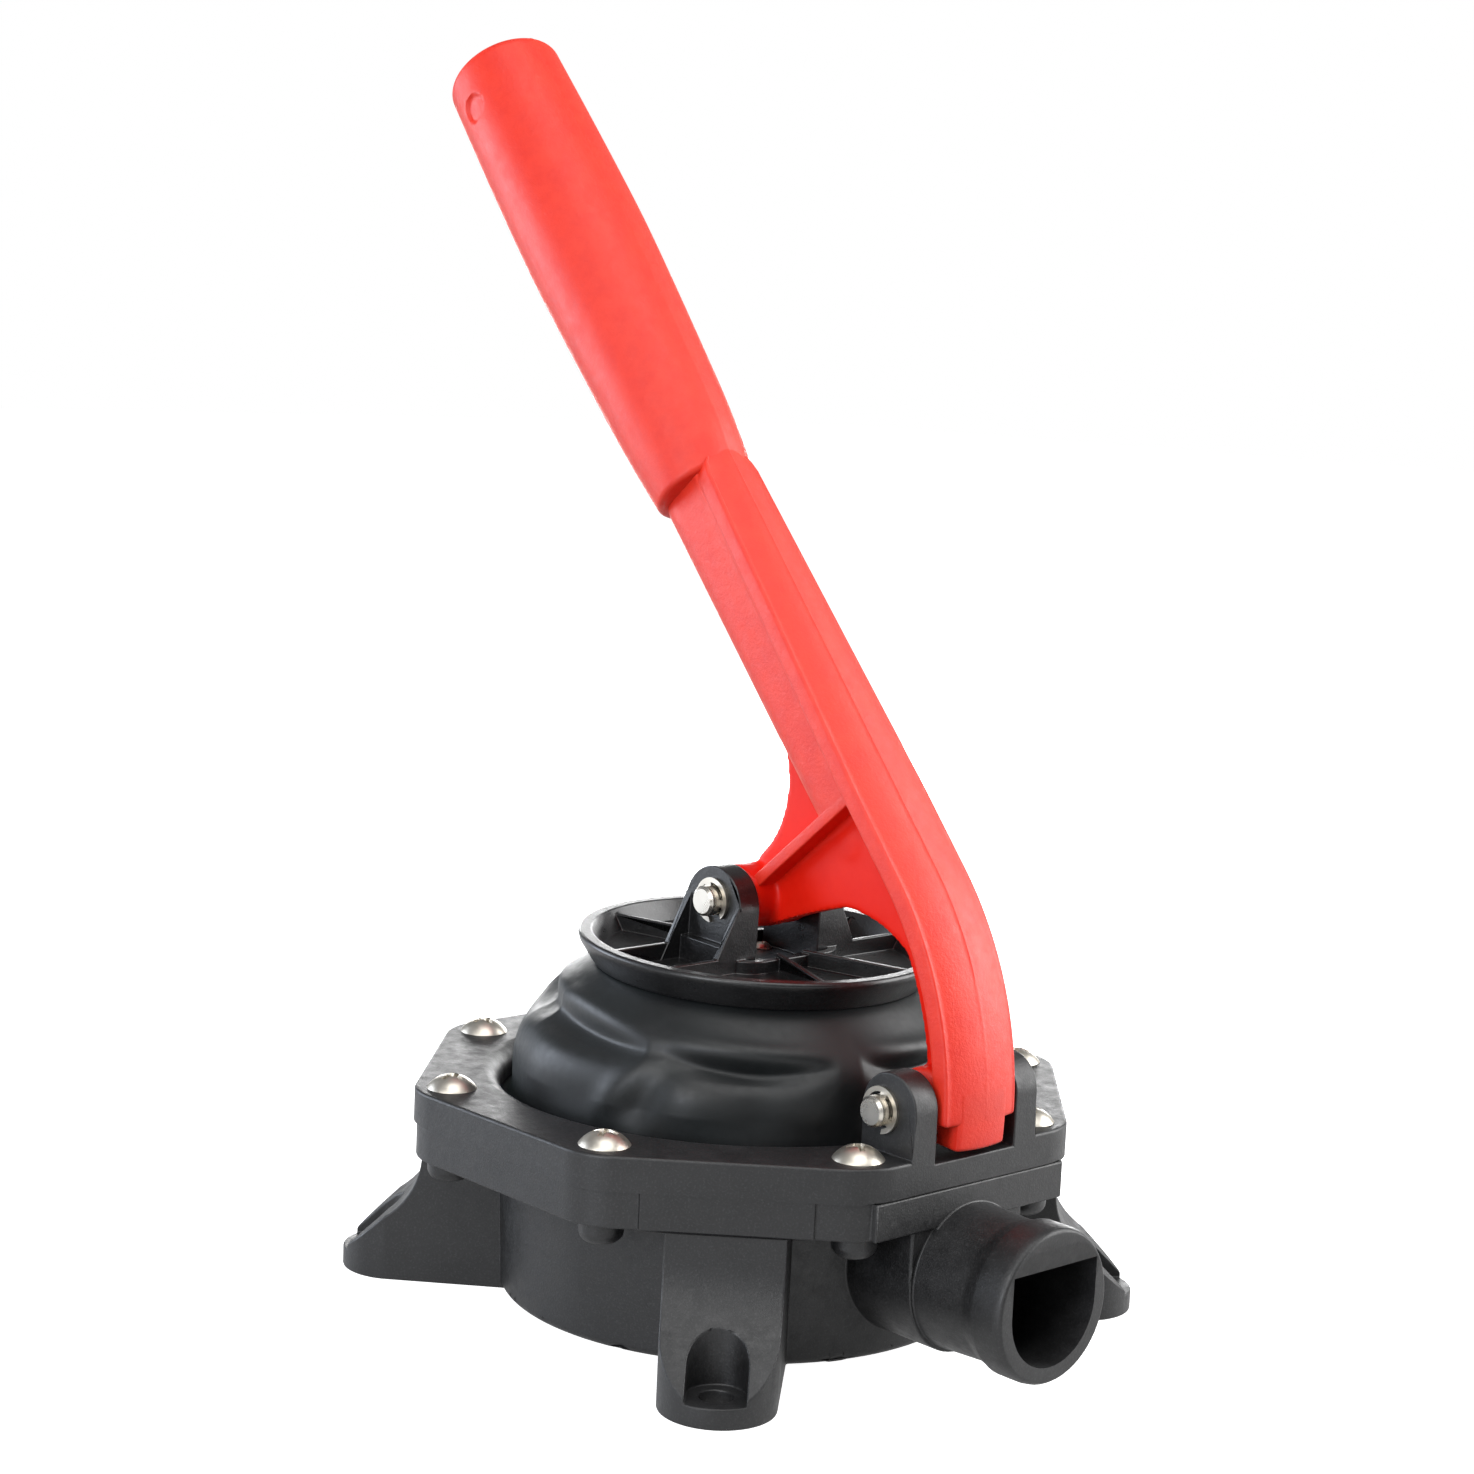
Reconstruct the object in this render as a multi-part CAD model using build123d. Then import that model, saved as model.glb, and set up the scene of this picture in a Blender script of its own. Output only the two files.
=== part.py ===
from build123d import *
import os
from math import cos, sin, radians

# Manual diaphragm bilge pump, in millimetres.
# Origin: centre of the four feet, on the surface that the pump is screwed to.
# +Z is up, +X runs along the outlet spigot, and the two hinge pins lie along Y.

# Housing: bowl, flange and clamp ring
BOWL_FOOT_R = 64.4            # outer radius at the floor
BOWL_TOP_R = 66.0             # outer radius under the flange
BOWL_INNER_R = 60.5
FLOOR_THICKNESS = 5.0
FLANGE_BOTTOM = 40.5
PARTING_Z = 50.0              # where the clamp ring meets the bowl's flange
RING_TOP = 59.0
RING_APOTHEM = 85.5           # half of the octagon's width across flats
FLANGE_SETBACK = 0.8          # the bowl's flange stands this far behind the ring's sides
PAD_SETBACK, PAD_HALF = 0.3, 21.5    # a pad on the flange's side above each foot
CORNER_FILLET = 18.0
OPENING_R = 66.0              # the ring's opening
LIP_FILLET = 5.0
BEAD_OUTER_R = 75.0           # the diaphragm's clamped bead
BEAD_HALF = 1.5

# Clamp screws, on the octagon's corners
SCREW_CIRCLE_R = 81.6
SCREW_ANGLES = [22.5 + 45 * i for i in range(8)]
SCREW_R = 2.95
SCREW_HEAD_R = 6.75
SCREW_HEAD_H = 3.6
SCREW_LENGTH = 20.0
INSERT_R = 4.0
INSERT_LENGTH = 9.8
BOSS_R = 8.6
PEG_R = 5.75                  # blind screw peg under the flange
PEG_BOTTOM = 34.3

# Spigots for 38 mm hose
PORT_Z = 26.0
PORT_END_X = 114.15
PORT_BORE_R = 15.2
PORT_FLAT = 10.1              # the bore's flat top, above the port's axis
BLOCK_END_X = 84.6
BLOCK_R = 20.0
BEAD_R = 19.9
BEAD_LAND = (105.5, 111.5)    # from, to along X

# Feet
FOOT_ANGLES = [45, 135, 225, 315]
FOOT_TIP_R = 108.1
FOOT_TOE_R = 14.8
FOOT_ROOT_HALF = 16.2
FOOT_TOE_H = 5.8
HOLE_CIRCLE_R = 99.5
HOLE_R = 4.25
POCKET_R = 7.5
POCKET_FLOOR = 5.4
FOOT_WALL = 3.5               # the feet are cored out from below

# Hinge pins: 8 mm, each held by two 12 mm retaining clips
PIN_R = 4.0
PIN_GROOVE_R = 3.0
PIN_TIP = 3.4                 # pin beyond the clip's seat
CLIP_R = 6.0
CLIP_T = 0.9
FIT = 0.05                    # radial clearance of a running fit

# Fulcrum: two ears on the clamp ring
FULCRUM_X, FULCRUM_Z = 73.9, 69.7
EAR_INNER_Y, EAR_OUTER_Y = 14.3, 22.3
EAR_LEFT_X = 67.0
EAR_TOP = 79.5
RECESS_Z = 57.3

# Diaphragm plate, in its own tilted frame with z = 0 at the rim's top
PLATE_X, PLATE_Z, PLATE_TILT = 3.64, 97.64, 2.2
PLATE_R = 49.0
PLATE_DEPTH = 8.2
DISH_FLOOR = -5.6
PLATE_PIN_H = 12.0
LUG_INNER_Y, LUG_OUTER_Y = 11.2, 18.0
LUG_R = 10.8
LUG_ARC_H = 10.2
FIN_T = 1.8
PLATE_RIB_REACH = 45.0        # the dish's ribs end inside the rim
RUBBER_T = 3.0

# Lever: a bar that leans back by 40.2 degrees, then curves down to the fulcrum.
# Points of the bar are given as (a, t): a out from the origin across the bar, t up along it.
LEAN = 40.2
ARC_R = 91.5                  # the crown's bend
ARC_X, ARC_Z = -3.1, 67.7     # centre of the bend
CROWN_RISE = 2.3
FLANGE_T = 4.6
FLANGE_HALF_LOW, FLANGE_HALF_HIGH = 12.8, 9.6
BODY_HALF = 9.2
BODY_A = 116.2                # axis of the bar's rounded inner side
WEB_HALF = 3.0
WEB_INNER_R = 73.7
RIB_TOP_T, RIB_T, RIB_FOOT_A = 82.5, 3.2, 73.7
KNUCKLE_R = 9.5
KNUCKLE_HALF = 10.8
PIVOT_R = 8.6
PIVOT_HALF = 9.3
TONGUE_BOTTOM = 59.3          # the pivot boss runs on below the flange, down to here
GRIP_A = 119.2
GRIP_T = (181.0, 332.3)       # along the bar: lip, top
GRIP_R = (14.1, 17.8, 16.6)   # at the lip, the swell and the top

# Flap valves
SEAT_T = 4.0
SEAT_X = {"inlet": -77.0, "outlet": 63.0}
FLAP_T = 2.2
FLAP_R = 13.6
FLAP_HINGE = (2.0, 7.6)       # the flap's pin: out from the seat's face, up from the port's axis
FLAP_PIN_R = 1.0
FLAP_PIN_HALF = 12.2

HOUSING_HALF_PIN = EAR_OUTER_Y + CLIP_T + PIN_TIP
PLATE_HALF_PIN = LUG_OUTER_Y + CLIP_T + PIN_TIP


def save(node, shape):
    export_step(shape, f"parts/{node}.step")


def polar(radius, degrees, z=0.0):
    return (radius * cos(radians(degrees)), radius * sin(radians(degrees)), z)


def box(x, y, z):
    """A box from three (low, high) pairs."""
    centre = [(low + high) / 2 for low, high in (x, y, z)]
    return Pos(*centre) * Box(x[1] - x[0], y[1] - y[0], z[1] - z[0])


def upright(radius, low, high, x=0.0, y=0.0):
    """A vertical cylinder from z = low to z = high."""
    return Pos(x, y, (low + high) / 2) * Cylinder(radius, high - low)


def across(radius, half, x, z, y=0.0):
    """A cylinder along Y, centred on (x, y, z)."""
    return Pos(x, y, z) * Rot(90, 0, 0) * Cylinder(radius, 2 * half)


def spun(points):
    """A solid of revolution about Z from (radius, z) points."""
    return revolve(make_face(Plane.XZ * Polyline(*points, close=True)), Axis.Z)


def octagon(apothem, low, high, corner):
    outline = RegularPolygon(apothem, 8, major_radius=False, rotation=22.5)
    outline = fillet(outline.vertices(), corner)
    return Pos(0, 0, low) * extrude(outline, high - low)


def both_ports(shape):
    return shape + Rot(0, 0, 180) * shape


# ---------------------------------------------------------------- housing

def port_outline(radius, flat):
    """The spigot bore's section in YZ: a U with a flat top."""
    left, right = (-radius, flat), (radius, flat)
    edges = [Line(left, right), Line(right, (radius, 0))]
    edges += [ThreePointArc((radius, 0), (0, -radius), (-radius, 0)), Line((-radius, 0), left)]
    return make_face(Plane(origin=(0, 0, PORT_Z), x_dir=(0, 1, 0), z_dir=(1, 0, 0)) * Curve(edges))


def port_solid(radius, flat, low_x, high_x):
    return Pos(low_x, 0, 0) * extrude(port_outline(radius, flat), high_x - low_x, dir=(1, 0, 0))


def spigot():
    low, high = BEAD_LAND
    profile = Polyline((50, 0), (50, 19.6), (BLOCK_END_X, 19.0), (low - 5.5, 18.3), (low - 1.5, 19.3),
                       (low, BEAD_R), (high, BEAD_R), (PORT_END_X - 1, 19.6), (PORT_END_X, 19.0),
                       (PORT_END_X, 0), close=True)
    return Pos(0, 0, PORT_Z) * revolve(make_face(Plane.XZ * profile), Axis.X)


def port_block():
    """The square-shouldered root of a spigot, from the bowl up to the flange."""
    block = box((50, BLOCK_END_X), (-BLOCK_R, BLOCK_R), (PORT_Z, FLANGE_BOTTOM + 1))
    root = Pos((50 + BLOCK_END_X) / 2, 0, PORT_Z) * Rot(0, 90, 0) * Cylinder(BLOCK_R, BLOCK_END_X - 50)
    return fillet(block.edges().filter_by(Axis.Z).sort_by(Axis.X)[-2:], 1.0) + root


def foot():
    """One foot along +X: a toe with a half-round end that sweeps up to the flange."""
    toe_x = FOOT_TIP_R - FOOT_TOE_R
    plan = [Line((50, -FOOT_ROOT_HALF), (toe_x, -FOOT_TOE_R)),
            ThreePointArc((toe_x, -FOOT_TOE_R), (FOOT_TIP_R, 0), (toe_x, FOOT_TOE_R)),
            Line((toe_x, FOOT_TOE_R), (50, FOOT_ROOT_HALF)), Line((50, FOOT_ROOT_HALF), (50, -FOOT_ROOT_HALF))]
    footprint = extrude(make_face(Curve(plan)), FLANGE_BOTTOM + 1, dir=(0, 0, 1))
    side = [Line((50, 0), (FOOT_TIP_R + 1, 0)), Line((FOOT_TIP_R + 1, 0), (FOOT_TIP_R + 1, FOOT_TOE_H)),
            Line((FOOT_TIP_R + 1, FOOT_TOE_H), (FOOT_TIP_R - 1, FOOT_TOE_H)),
            Line((FOOT_TIP_R - 1, FOOT_TOE_H), (95, 17.4)),
            ThreePointArc((95, 17.4), (88.2, 24.5), (85.2, 34.0)),
            Line((85.2, 34.0), (84.6, FLANGE_BOTTOM + 1)),
            Line((84.6, FLANGE_BOTTOM + 1), (50, FLANGE_BOTTOM + 1)), Line((50, FLANGE_BOTTOM + 1), (50, 0))]
    profile = extrude(make_face(Plane.XZ * Curve(side)), 30, both=True)
    shape = footprint & profile
    shape -= upright(POCKET_R, POCKET_FLOOR, 60, x=HOLE_CIRCLE_R)
    shape -= box((HOLE_CIRCLE_R, 130), (-POCKET_R, POCKET_R), (POCKET_FLOOR, 60))
    shape -= upright(HOLE_R, -1, 10, x=HOLE_CIRCLE_R)
    core_half = FOOT_TOE_R - FOOT_WALL
    shape -= box((BOWL_TOP_R + 1, 81), (-core_half, core_half), (-1, FLANGE_BOTTOM - FOOT_WALL))
    return shape - box((80, HOLE_CIRCLE_R - POCKET_R - FOOT_WALL), (-core_half, core_half), (-1, 18))


def flange_pad():
    return box((75, RING_APOTHEM - PAD_SETBACK), (-PAD_HALF, PAD_HALF), (FLANGE_BOTTOM, PARTING_Z))


def peg():
    """A blind screw peg under the flange, with a rounded tip."""
    shape = upright(PEG_R, PEG_BOTTOM, FLANGE_BOTTOM + 1)
    return fillet(shape.edges().sort_by(Axis.Z)[0], 3.2)


def pump_body():
    bowl = Pos(0, 0, FLANGE_BOTTOM / 2) * Cone(BOWL_FOOT_R, BOWL_TOP_R, FLANGE_BOTTOM)
    shape = fillet(bowl.edges().sort_by(Axis.Z)[0], 2.5)
    shape += octagon(RING_APOTHEM - FLANGE_SETBACK, FLANGE_BOTTOM, PARTING_Z, CORNER_FILLET)
    shape += both_ports(box((60, RING_APOTHEM), (-34, 34), (FLANGE_BOTTOM, PARTING_Z)))
    for angle in SCREW_ANGLES:
        x, y, _ = polar(SCREW_CIRCLE_R, angle)
        shape += upright(BOSS_R, FLANGE_BOTTOM, PARTING_Z, x, y)
        shape += Pos(x, y, 0) * peg()
    for angle in FOOT_ANGLES:
        shape += Rot(0, 0, angle) * (foot() + flange_pad())
    shape += both_ports(port_block() + spigot())
    shape -= spun([(0, FLOOR_THICKNESS), (BOWL_INNER_R - 5, FLOOR_THICKNESS), (BOWL_INNER_R, FLOOR_THICKNESS + 5),
                   (BOWL_INNER_R, PARTING_Z - BEAD_HALF), (BEAD_OUTER_R, PARTING_Z - BEAD_HALF),
                   (BEAD_OUTER_R, PARTING_Z + 1), (0, PARTING_Z + 1)])
    shape -= both_ports(port_solid(PORT_BORE_R, PORT_FLAT, 45, PORT_END_X + 1))
    for angle in SCREW_ANGLES:
        x, y, _ = polar(SCREW_CIRCLE_R, angle)
        shape -= upright(INSERT_R + FIT, PARTING_Z - INSERT_LENGTH - 0.2, PARTING_Z + 1, x, y)
        shape -= upright(SCREW_R + 0.2, RING_TOP - SCREW_LENGTH - 1, PARTING_Z, x, y)
    return shape


def ear(side):
    """One fulcrum ear; side is +1 or -1 along Y."""
    radius = (RING_APOTHEM - EAR_LEFT_X) / 2
    centre_x = EAR_LEFT_X + radius
    centre_z = EAR_TOP - radius
    low, high = sorted((side * EAR_INNER_Y, side * EAR_OUTER_Y))
    shape = box((EAR_LEFT_X, RING_APOTHEM), (low, high), (RING_TOP - 2, centre_z))
    return shape + across(radius, (high - low) / 2, centre_x, centre_z, (low + high) / 2)


def clamp_ring():
    shape = octagon(RING_APOTHEM, PARTING_Z, RING_TOP, CORNER_FILLET)
    shape -= upright(OPENING_R, PARTING_Z - 1, RING_TOP + 1)
    inner = [e for e in shape.edges().group_by(Axis.Z)[-1] if e.geom_type == GeomType.CIRCLE and e.radius > 60]
    shape = fillet(inner, LIP_FILLET)
    outer = shape.edges().group_by(Axis.Z)[-1].filter_by(lambda e: e.length < 90)
    shape = fillet(outer, 0.8)
    shape += ear(1) + ear(-1)
    shape -= box((60, RING_APOTHEM + 1), (-EAR_INNER_Y, EAR_INNER_Y), (RECESS_Z, RING_TOP + 1))
    shape -= across(PIN_R + 0.02, 30, FULCRUM_X, FULCRUM_Z)
    shape -= upright(BEAD_OUTER_R, PARTING_Z - 1, PARTING_Z + BEAD_HALF)
    for angle in SCREW_ANGLES:
        x, y, _ = polar(SCREW_CIRCLE_R, angle)
        shape -= upright(SCREW_R + 0.25, PARTING_Z - 1, RING_TOP + 1, x, y)
    return shape


def clamp_screw():
    """Truss-head screw with a cross recess, standing on z = 0."""
    dome = (SCREW_HEAD_R ** 2 + SCREW_HEAD_H ** 2) / (2 * SCREW_HEAD_H)
    head = Pos(0, 0, SCREW_HEAD_H - dome) * Sphere(dome) & upright(SCREW_HEAD_R - 0.15, 0, SCREW_HEAD_H)
    slot = box((-3.1, 3.1), (-0.6, 0.6), (SCREW_HEAD_H - 1.9, SCREW_HEAD_H + 1))
    head -= slot + Rot(0, 0, 90) * slot
    return head + upright(SCREW_R, -SCREW_LENGTH, 0.1)


def threaded_insert():
    return upright(INSERT_R, PARTING_Z - INSERT_LENGTH, PARTING_Z) - upright(SCREW_R + 0.03, 0, RING_TOP)


def ring_of(shape, z=0.0):
    copies = [Pos(*polar(SCREW_CIRCLE_R, a, z)) * Rot(0, 0, a + 20) * shape for a in SCREW_ANGLES]
    return Compound(children=copies)


# ------------------------------------------------------------ valves

def flap_hinge(radius, half, seat_x):
    """A cylinder on the axis of a flap's pin."""
    out, up = FLAP_HINGE
    return across(radius, half, seat_x + SEAT_T + out, PORT_Z + up)


def valve_seat(x):
    """A plug in the port's bore with a window and two ears for the flap's pin."""
    shape = port_solid(PORT_BORE_R - FIT, PORT_FLAT - FIT, x, x + SEAT_T)
    shape -= port_solid(11.5, 2.2, x - 1, x + SEAT_T + 1)
    for side in (-1, 1):
        reach = sorted((side * 10.0, side * 12.4))
        shape += box((x + SEAT_T - 0.5, x + SEAT_T + 3.8), reach, (PORT_Z + 5.4, PORT_Z + PORT_FLAT - FIT))
    return shape - flap_hinge(FLAP_PIN_R + 0.02, 20, x)


def valve_flap(x):
    """A rubber flap whose rolled top edge turns on its pin, in front of the seat."""
    face = x + SEAT_T + 0.3
    flap = port_solid(FLAP_R, 3.0, face, face + FLAP_T)
    flap += box((face, face + FLAP_T), (-9.4, 9.4), (PORT_Z + 2, PORT_Z + FLAP_HINGE[1]))
    flap += flap_hinge(1.9, 9.4, x)
    return flap - flap_hinge(FLAP_PIN_R + FIT, 20, x)


# -------------------------------------------------------- diaphragm and plate

PLATE = Pos(PLATE_X, 0, PLATE_Z) * Rot(0, PLATE_TILT, 0)
PLATE_SCREWS = [(7.3 * i, 8.0 * j) for i in (-1, 1) for j in (-1, 1)]


def dome(radius, top):
    """A closed dome: a straight skirt through the ring, a shoulder, and the tilted top under the plate."""
    skirt = [(0, 45), (radius, 45), (radius, 64), (radius - 3, 73), (radius - 9, 80), (radius - 14, 82), (0, 82)]
    cap = Cone(radius - 11, 44, 6)
    return spun(skirt) + PLATE * Pos(0, 0, top - 3) * cap


def diaphragm():
    shape = dome(63.0, -PLATE_DEPTH) - dome(63.0 - RUBBER_T, -PLATE_DEPTH - RUBBER_T)
    shape -= upright(90, 0, PARTING_Z - BEAD_HALF)
    low, high = PARTING_Z - BEAD_HALF, PARTING_Z + BEAD_HALF
    shape += upright(BEAD_OUTER_R - FIT, low, high) - upright(BOWL_INNER_R, low - 1, high + 1)
    for x, y in PLATE_SCREWS:
        shape -= PLATE * upright(2.3, -20, 0, x, y)
    return shape


def lug(side):
    """A clevis lug of the plate, with its block and two buttress fins."""
    low, high = LUG_INNER_Y, LUG_OUTER_Y
    shape = box((-LUG_R, LUG_R), (low, high), (DISH_FLOOR - 1, LUG_ARC_H))
    shape += across(LUG_R, (high - low) / 2, 0, LUG_ARC_H, (low + high) / 2)
    shape += box((-LUG_R, LUG_R), (high, high + 2.6), (DISH_FLOOR - 1, 0.8))
    fin = Polyline((high, 12.5), (high + 9.5, DISH_FLOOR - 1), (high, DISH_FLOOR - 1), close=True)
    for x in (-LUG_R, LUG_R - FIN_T):
        shape += Pos(x, 0, 0) * extrude(make_face(Plane.YZ * fin), FIN_T, dir=(1, 0, 0))
    return shape if side > 0 else Rot(0, 0, 180) * shape


def plate_ribs():
    """Four ribs near the X axis and four that carry the fins on to the rim."""
    rib = box((13, PLATE_RIB_REACH), (-0.8, 0.8), (DISH_FLOOR - 1, -1.2))
    side_reach = (PLATE_RIB_REACH ** 2 - LUG_R ** 2) ** 0.5
    shape = Rot(0, 0, 20) * rib
    for angle in (-20, 160, 200):
        shape += Rot(0, 0, angle) * rib
    for x in (-LUG_R + 0.8, LUG_R - 0.8):
        for low, high in ((20, side_reach), (-side_reach, -20)):
            shape += box((x - 0.8, x + 0.8), (low, high), (DISH_FLOOR - 1, -1.2))
    return shape


def hub_wall():
    outer = extrude(RectangleRounded(29, 2 * LUG_OUTER_Y + 4, 9), 3.6)
    inner = extrude(RectangleRounded(24.6, 2 * LUG_OUTER_Y - 0.4, 7), 5)
    return Pos(0, 0, DISH_FLOOR - 0.2) * (outer - inner)


def diaphragm_plate():
    shape = spun([(0, -PLATE_DEPTH), (44.6, -PLATE_DEPTH), (PLATE_R - 0.6, -2.6), (PLATE_R, -0.8), (PLATE_R - 0.6, 0),
                  (PLATE_R - 3.6, 0), (42.0, DISH_FLOOR), (0, DISH_FLOOR)])
    shape += plate_ribs() + hub_wall() + lug(1) + lug(-1)
    shape -= across(PIN_R + 0.02, 40, 0, PLATE_PIN_H)
    for x, y in PLATE_SCREWS:
        shape -= upright(1.9, -20, 0, x, y)
    return PLATE * shape


def inner_plate():
    top = -PLATE_DEPTH - RUBBER_T
    shape = spun([(0, top), (40, top), (40, top - 1.6), (36, top - 4), (0, top - 4)])
    for x, y in PLATE_SCREWS:
        shape += upright(4.0, top - 10, top - 3, x, y)
        shape -= upright(1.75, top - 9, top + 1, x, y)
    return PLATE * shape


def plate_screw():
    head = upright(2.7, DISH_FLOOR, DISH_FLOOR + 1.7)
    head = fillet(head.edges().sort_by(Axis.Z)[-1], 1.1)
    slot = box((-1.7, 1.7), (-0.35, 0.35), (DISH_FLOOR + 0.8, 0))
    head -= slot + Rot(0, 0, 90) * slot
    return head + upright(1.7, DISH_FLOOR - 14, DISH_FLOOR + 0.1)


# ---------------------------------------------------------------- lever

def bar_point(a, t):
    """(x, z) of a point a out from the origin across the bar and t up along it."""
    lean = radians(LEAN)
    return (a * cos(lean) - t * sin(lean), a * sin(lean) + t * cos(lean))


BAR = Plane(origin=(0, 0, 0), x_dir=(cos(radians(LEAN)), 0, sin(radians(LEAN))),
            z_dir=(-sin(radians(LEAN)), 0, cos(radians(LEAN))))
BEND_A = ARC_X * cos(radians(LEAN)) + ARC_Z * sin(radians(LEAN)) + ARC_R
BEND_T = -ARC_X * sin(radians(LEAN)) + ARC_Z * cos(radians(LEAN))


def xz_face(edges):
    return make_face(Plane.XZ * Curve(edges))


def bar_flange():
    """The crowned outer flange: an arch section swept down the bar and round the bend."""
    top, tangent = bar_point(BEND_A, GRIP_T[0] + 14), bar_point(BEND_A, BEND_T)
    foot_x, foot_z = ARC_X + ARC_R, ARC_Z
    middle = (ARC_X + ARC_R * cos(radians(LEAN / 2)), ARC_Z + ARC_R * sin(radians(LEAN / 2)))
    path = Plane.XZ * Curve([Line(top, tangent), ThreePointArc(tangent, middle, (foot_x, foot_z))])
    start = Plane(origin=(top[0], 0, top[1]), x_dir=BAR.x_dir, z_dir=BAR.z_dir)
    half, deep = FLANGE_HALF_LOW, CROWN_RISE + FLANGE_T
    section = make_face(start * Curve([
        ThreePointArc((-CROWN_RISE, -half), (0, 0), (-CROWN_RISE, half)), Line((-CROWN_RISE, half), (-deep, half)),
        Line((-deep, half), (-deep, -half)), Line((-deep, -half), (-CROWN_RISE, -half))]))
    flange = sweep(section, path=path)
    plan = Polyline((-100, FLANGE_HALF_LOW), (78, FLANGE_HALF_LOW), (193, FLANGE_HALF_HIGH - 0.4),
                    (193, 0.4 - FLANGE_HALF_HIGH), (78, -FLANGE_HALF_LOW), (-100, -FLANGE_HALF_LOW), close=True)
    taper = Plane(origin=(0, 0, 0), x_dir=BAR.z_dir, z_dir=BAR.x_dir)
    return flange & extrude(make_face(taper * plan), 200, dir=BAR.x_dir)


def bar_body():
    """The rounded inner side of the bar, from the rib up into the grip."""
    section = Pos(BODY_A, 0) * Circle(BODY_HALF) + Pos((BODY_A + BEND_A - 4) / 2, 0) * Rectangle(
        BEND_A - 4 - BODY_A, 2 * BODY_HALF)
    start = RIB_TOP_T - RIB_T
    return BAR * Pos(0, 0, start) * extrude(section, GRIP_T[0] + 14 - start)


def web():
    """The thin plate that joins the bend, the rib and the plate's knuckle."""
    pin_x, pin_z = plate_pin()
    bend = [(ARC_X + r * cos(radians(d)), ARC_Z + r * sin(radians(d)))
            for r, d in ((ARC_R - 5, LEAN), (ARC_R - 5, 20), (ARC_R - 5, -6), (WEB_INNER_R, -6),
                         (WEB_INNER_R, 12), (WEB_INNER_R, 30))]
    arch_top = (38.0, 112.0)
    lower_knuckle = (pin_x + 4.0, pin_z - 8.2)
    hollow_foot, hollow_head = bar_point(81.9, 88.8), bar_point(BODY_A - BODY_HALF + 0.5, 115.7)
    hollow_middle = bar_point(100.6, 98.6)
    outline = [
        ThreePointArc(bend[0], bend[1], bend[2]), Line(bend[2], bend[3]), ThreePointArc(bend[3], bend[4], bend[5]),
        ThreePointArc(bend[5], (49.5, 110.3), arch_top), ThreePointArc(arch_top, (24.0, 107.7), lower_knuckle),
        Line(lower_knuckle, (pin_x - 2.0, pin_z + 5.0)), Line((pin_x - 2.0, pin_z + 5.0), hollow_foot),
        ThreePointArc(hollow_foot, hollow_middle, hollow_head),
        Line(hollow_head, bar_point(BEND_A - 5, 115.7)), Line(bar_point(BEND_A - 5, 115.7), bend[0])]
    return extrude(xz_face(outline), WEB_HALF, both=True)


def plate_pin():
    """(x, z) of the pin that joins the lever to the diaphragm plate."""
    tilt = radians(PLATE_TILT)
    return (PLATE_X + PLATE_PIN_H * sin(tilt), PLATE_Z + PLATE_PIN_H * cos(tilt))


def rib():
    shape = box((RIB_FOOT_A, BEND_A - 4), (-BODY_HALF, BODY_HALF), (RIB_TOP_T - RIB_T, RIB_TOP_T))
    return BAR.location * shape


def grip():
    """A turned grip with a lip at its foot, a swell and a domed end."""
    low, high = GRIP_T
    lip, swell, top = GRIP_R
    outline = [Line((0, low), (lip - 1.5, low)), ThreePointArc((lip - 1.5, low), (lip - 0.4, low + 0.5), (lip, low + 1.6)),
               Spline((lip, low + 1.6), (swell, low + 84), (top, high - 5), tangents=((0.05, 1), (-0.03, 1))),
               ThreePointArc((top, high - 5), (top - 1.6, high - 1.5), (top - 6, high)),
               Line((top - 6, high), (0, high)), Line((0, high), (0, low))]
    solid = revolve(make_face(Plane.XZ * Curve(outline)), Axis.Z)
    return BAR.location * (Pos(GRIP_A, 0, 0) * solid)


def tongue():
    """The foot of the pivot boss, flush with the flange's crown and rounded at its lower edge."""
    face = ARC_X + ARC_R - 0.3
    block = box((FULCRUM_X, face), (0.3 - PIVOT_HALF, PIVOT_HALF - 0.3), (TONGUE_BOTTOM, FULCRUM_Z))
    return fillet(block.edges().filter_by(Axis.Y).group_by(Axis.Z)[0].sort_by(Axis.X)[-1], 2.5)


def lever():
    pin_x, pin_z = plate_pin()
    shape = bar_flange() + bar_body() + web() + rib() + grip()
    shape += across(KNUCKLE_R, KNUCKLE_HALF, pin_x, pin_z)
    shape += across(PIVOT_R, PIVOT_HALF, FULCRUM_X, FULCRUM_Z) + tongue()
    shape -= across(PIN_R + FIT, 30, pin_x, pin_z)
    return shape - across(PIN_R + FIT, 30, FULCRUM_X, FULCRUM_Z)


# ---------------------------------------------------------- pins and clips

def hinge_pin(half, seat):
    """A pin along Y with a clip groove near each end; seat is where each clip rests."""
    shape = Rot(90, 0, 0) * Cylinder(PIN_R, 2 * half)
    shape = chamfer(shape.edges().filter_by(GeomType.CIRCLE), 0.7)
    for side in (-1, 1):
        low, high = sorted((side * seat, side * (seat + CLIP_T + 0.1)))
        groove = across(PIN_R + 1, (high - low) / 2, 0, 0, (low + high) / 2)
        shape -= groove - across(PIN_GROOVE_R, half, 0, 0)
    return shape


def clip():
    """A flat retaining clip with three prongs, standing from y = 0 to y = CLIP_T, open to the lower side."""
    ring = Circle(CLIP_R) - Circle(PIN_R + 0.7)
    for angle in (90, 205, 335):
        ring += Rot(0, 0, angle) * (Pos((PIN_GROOVE_R + 5) / 2, 0) * Rectangle(5.1 - PIN_GROOVE_R, 2.2))
    ring -= Circle(PIN_GROOVE_R + 0.03)
    ring -= Pos(0, -6) * Rectangle(4.4, 9.0)
    return Plane.XZ * extrude(ring, -CLIP_T)


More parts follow.
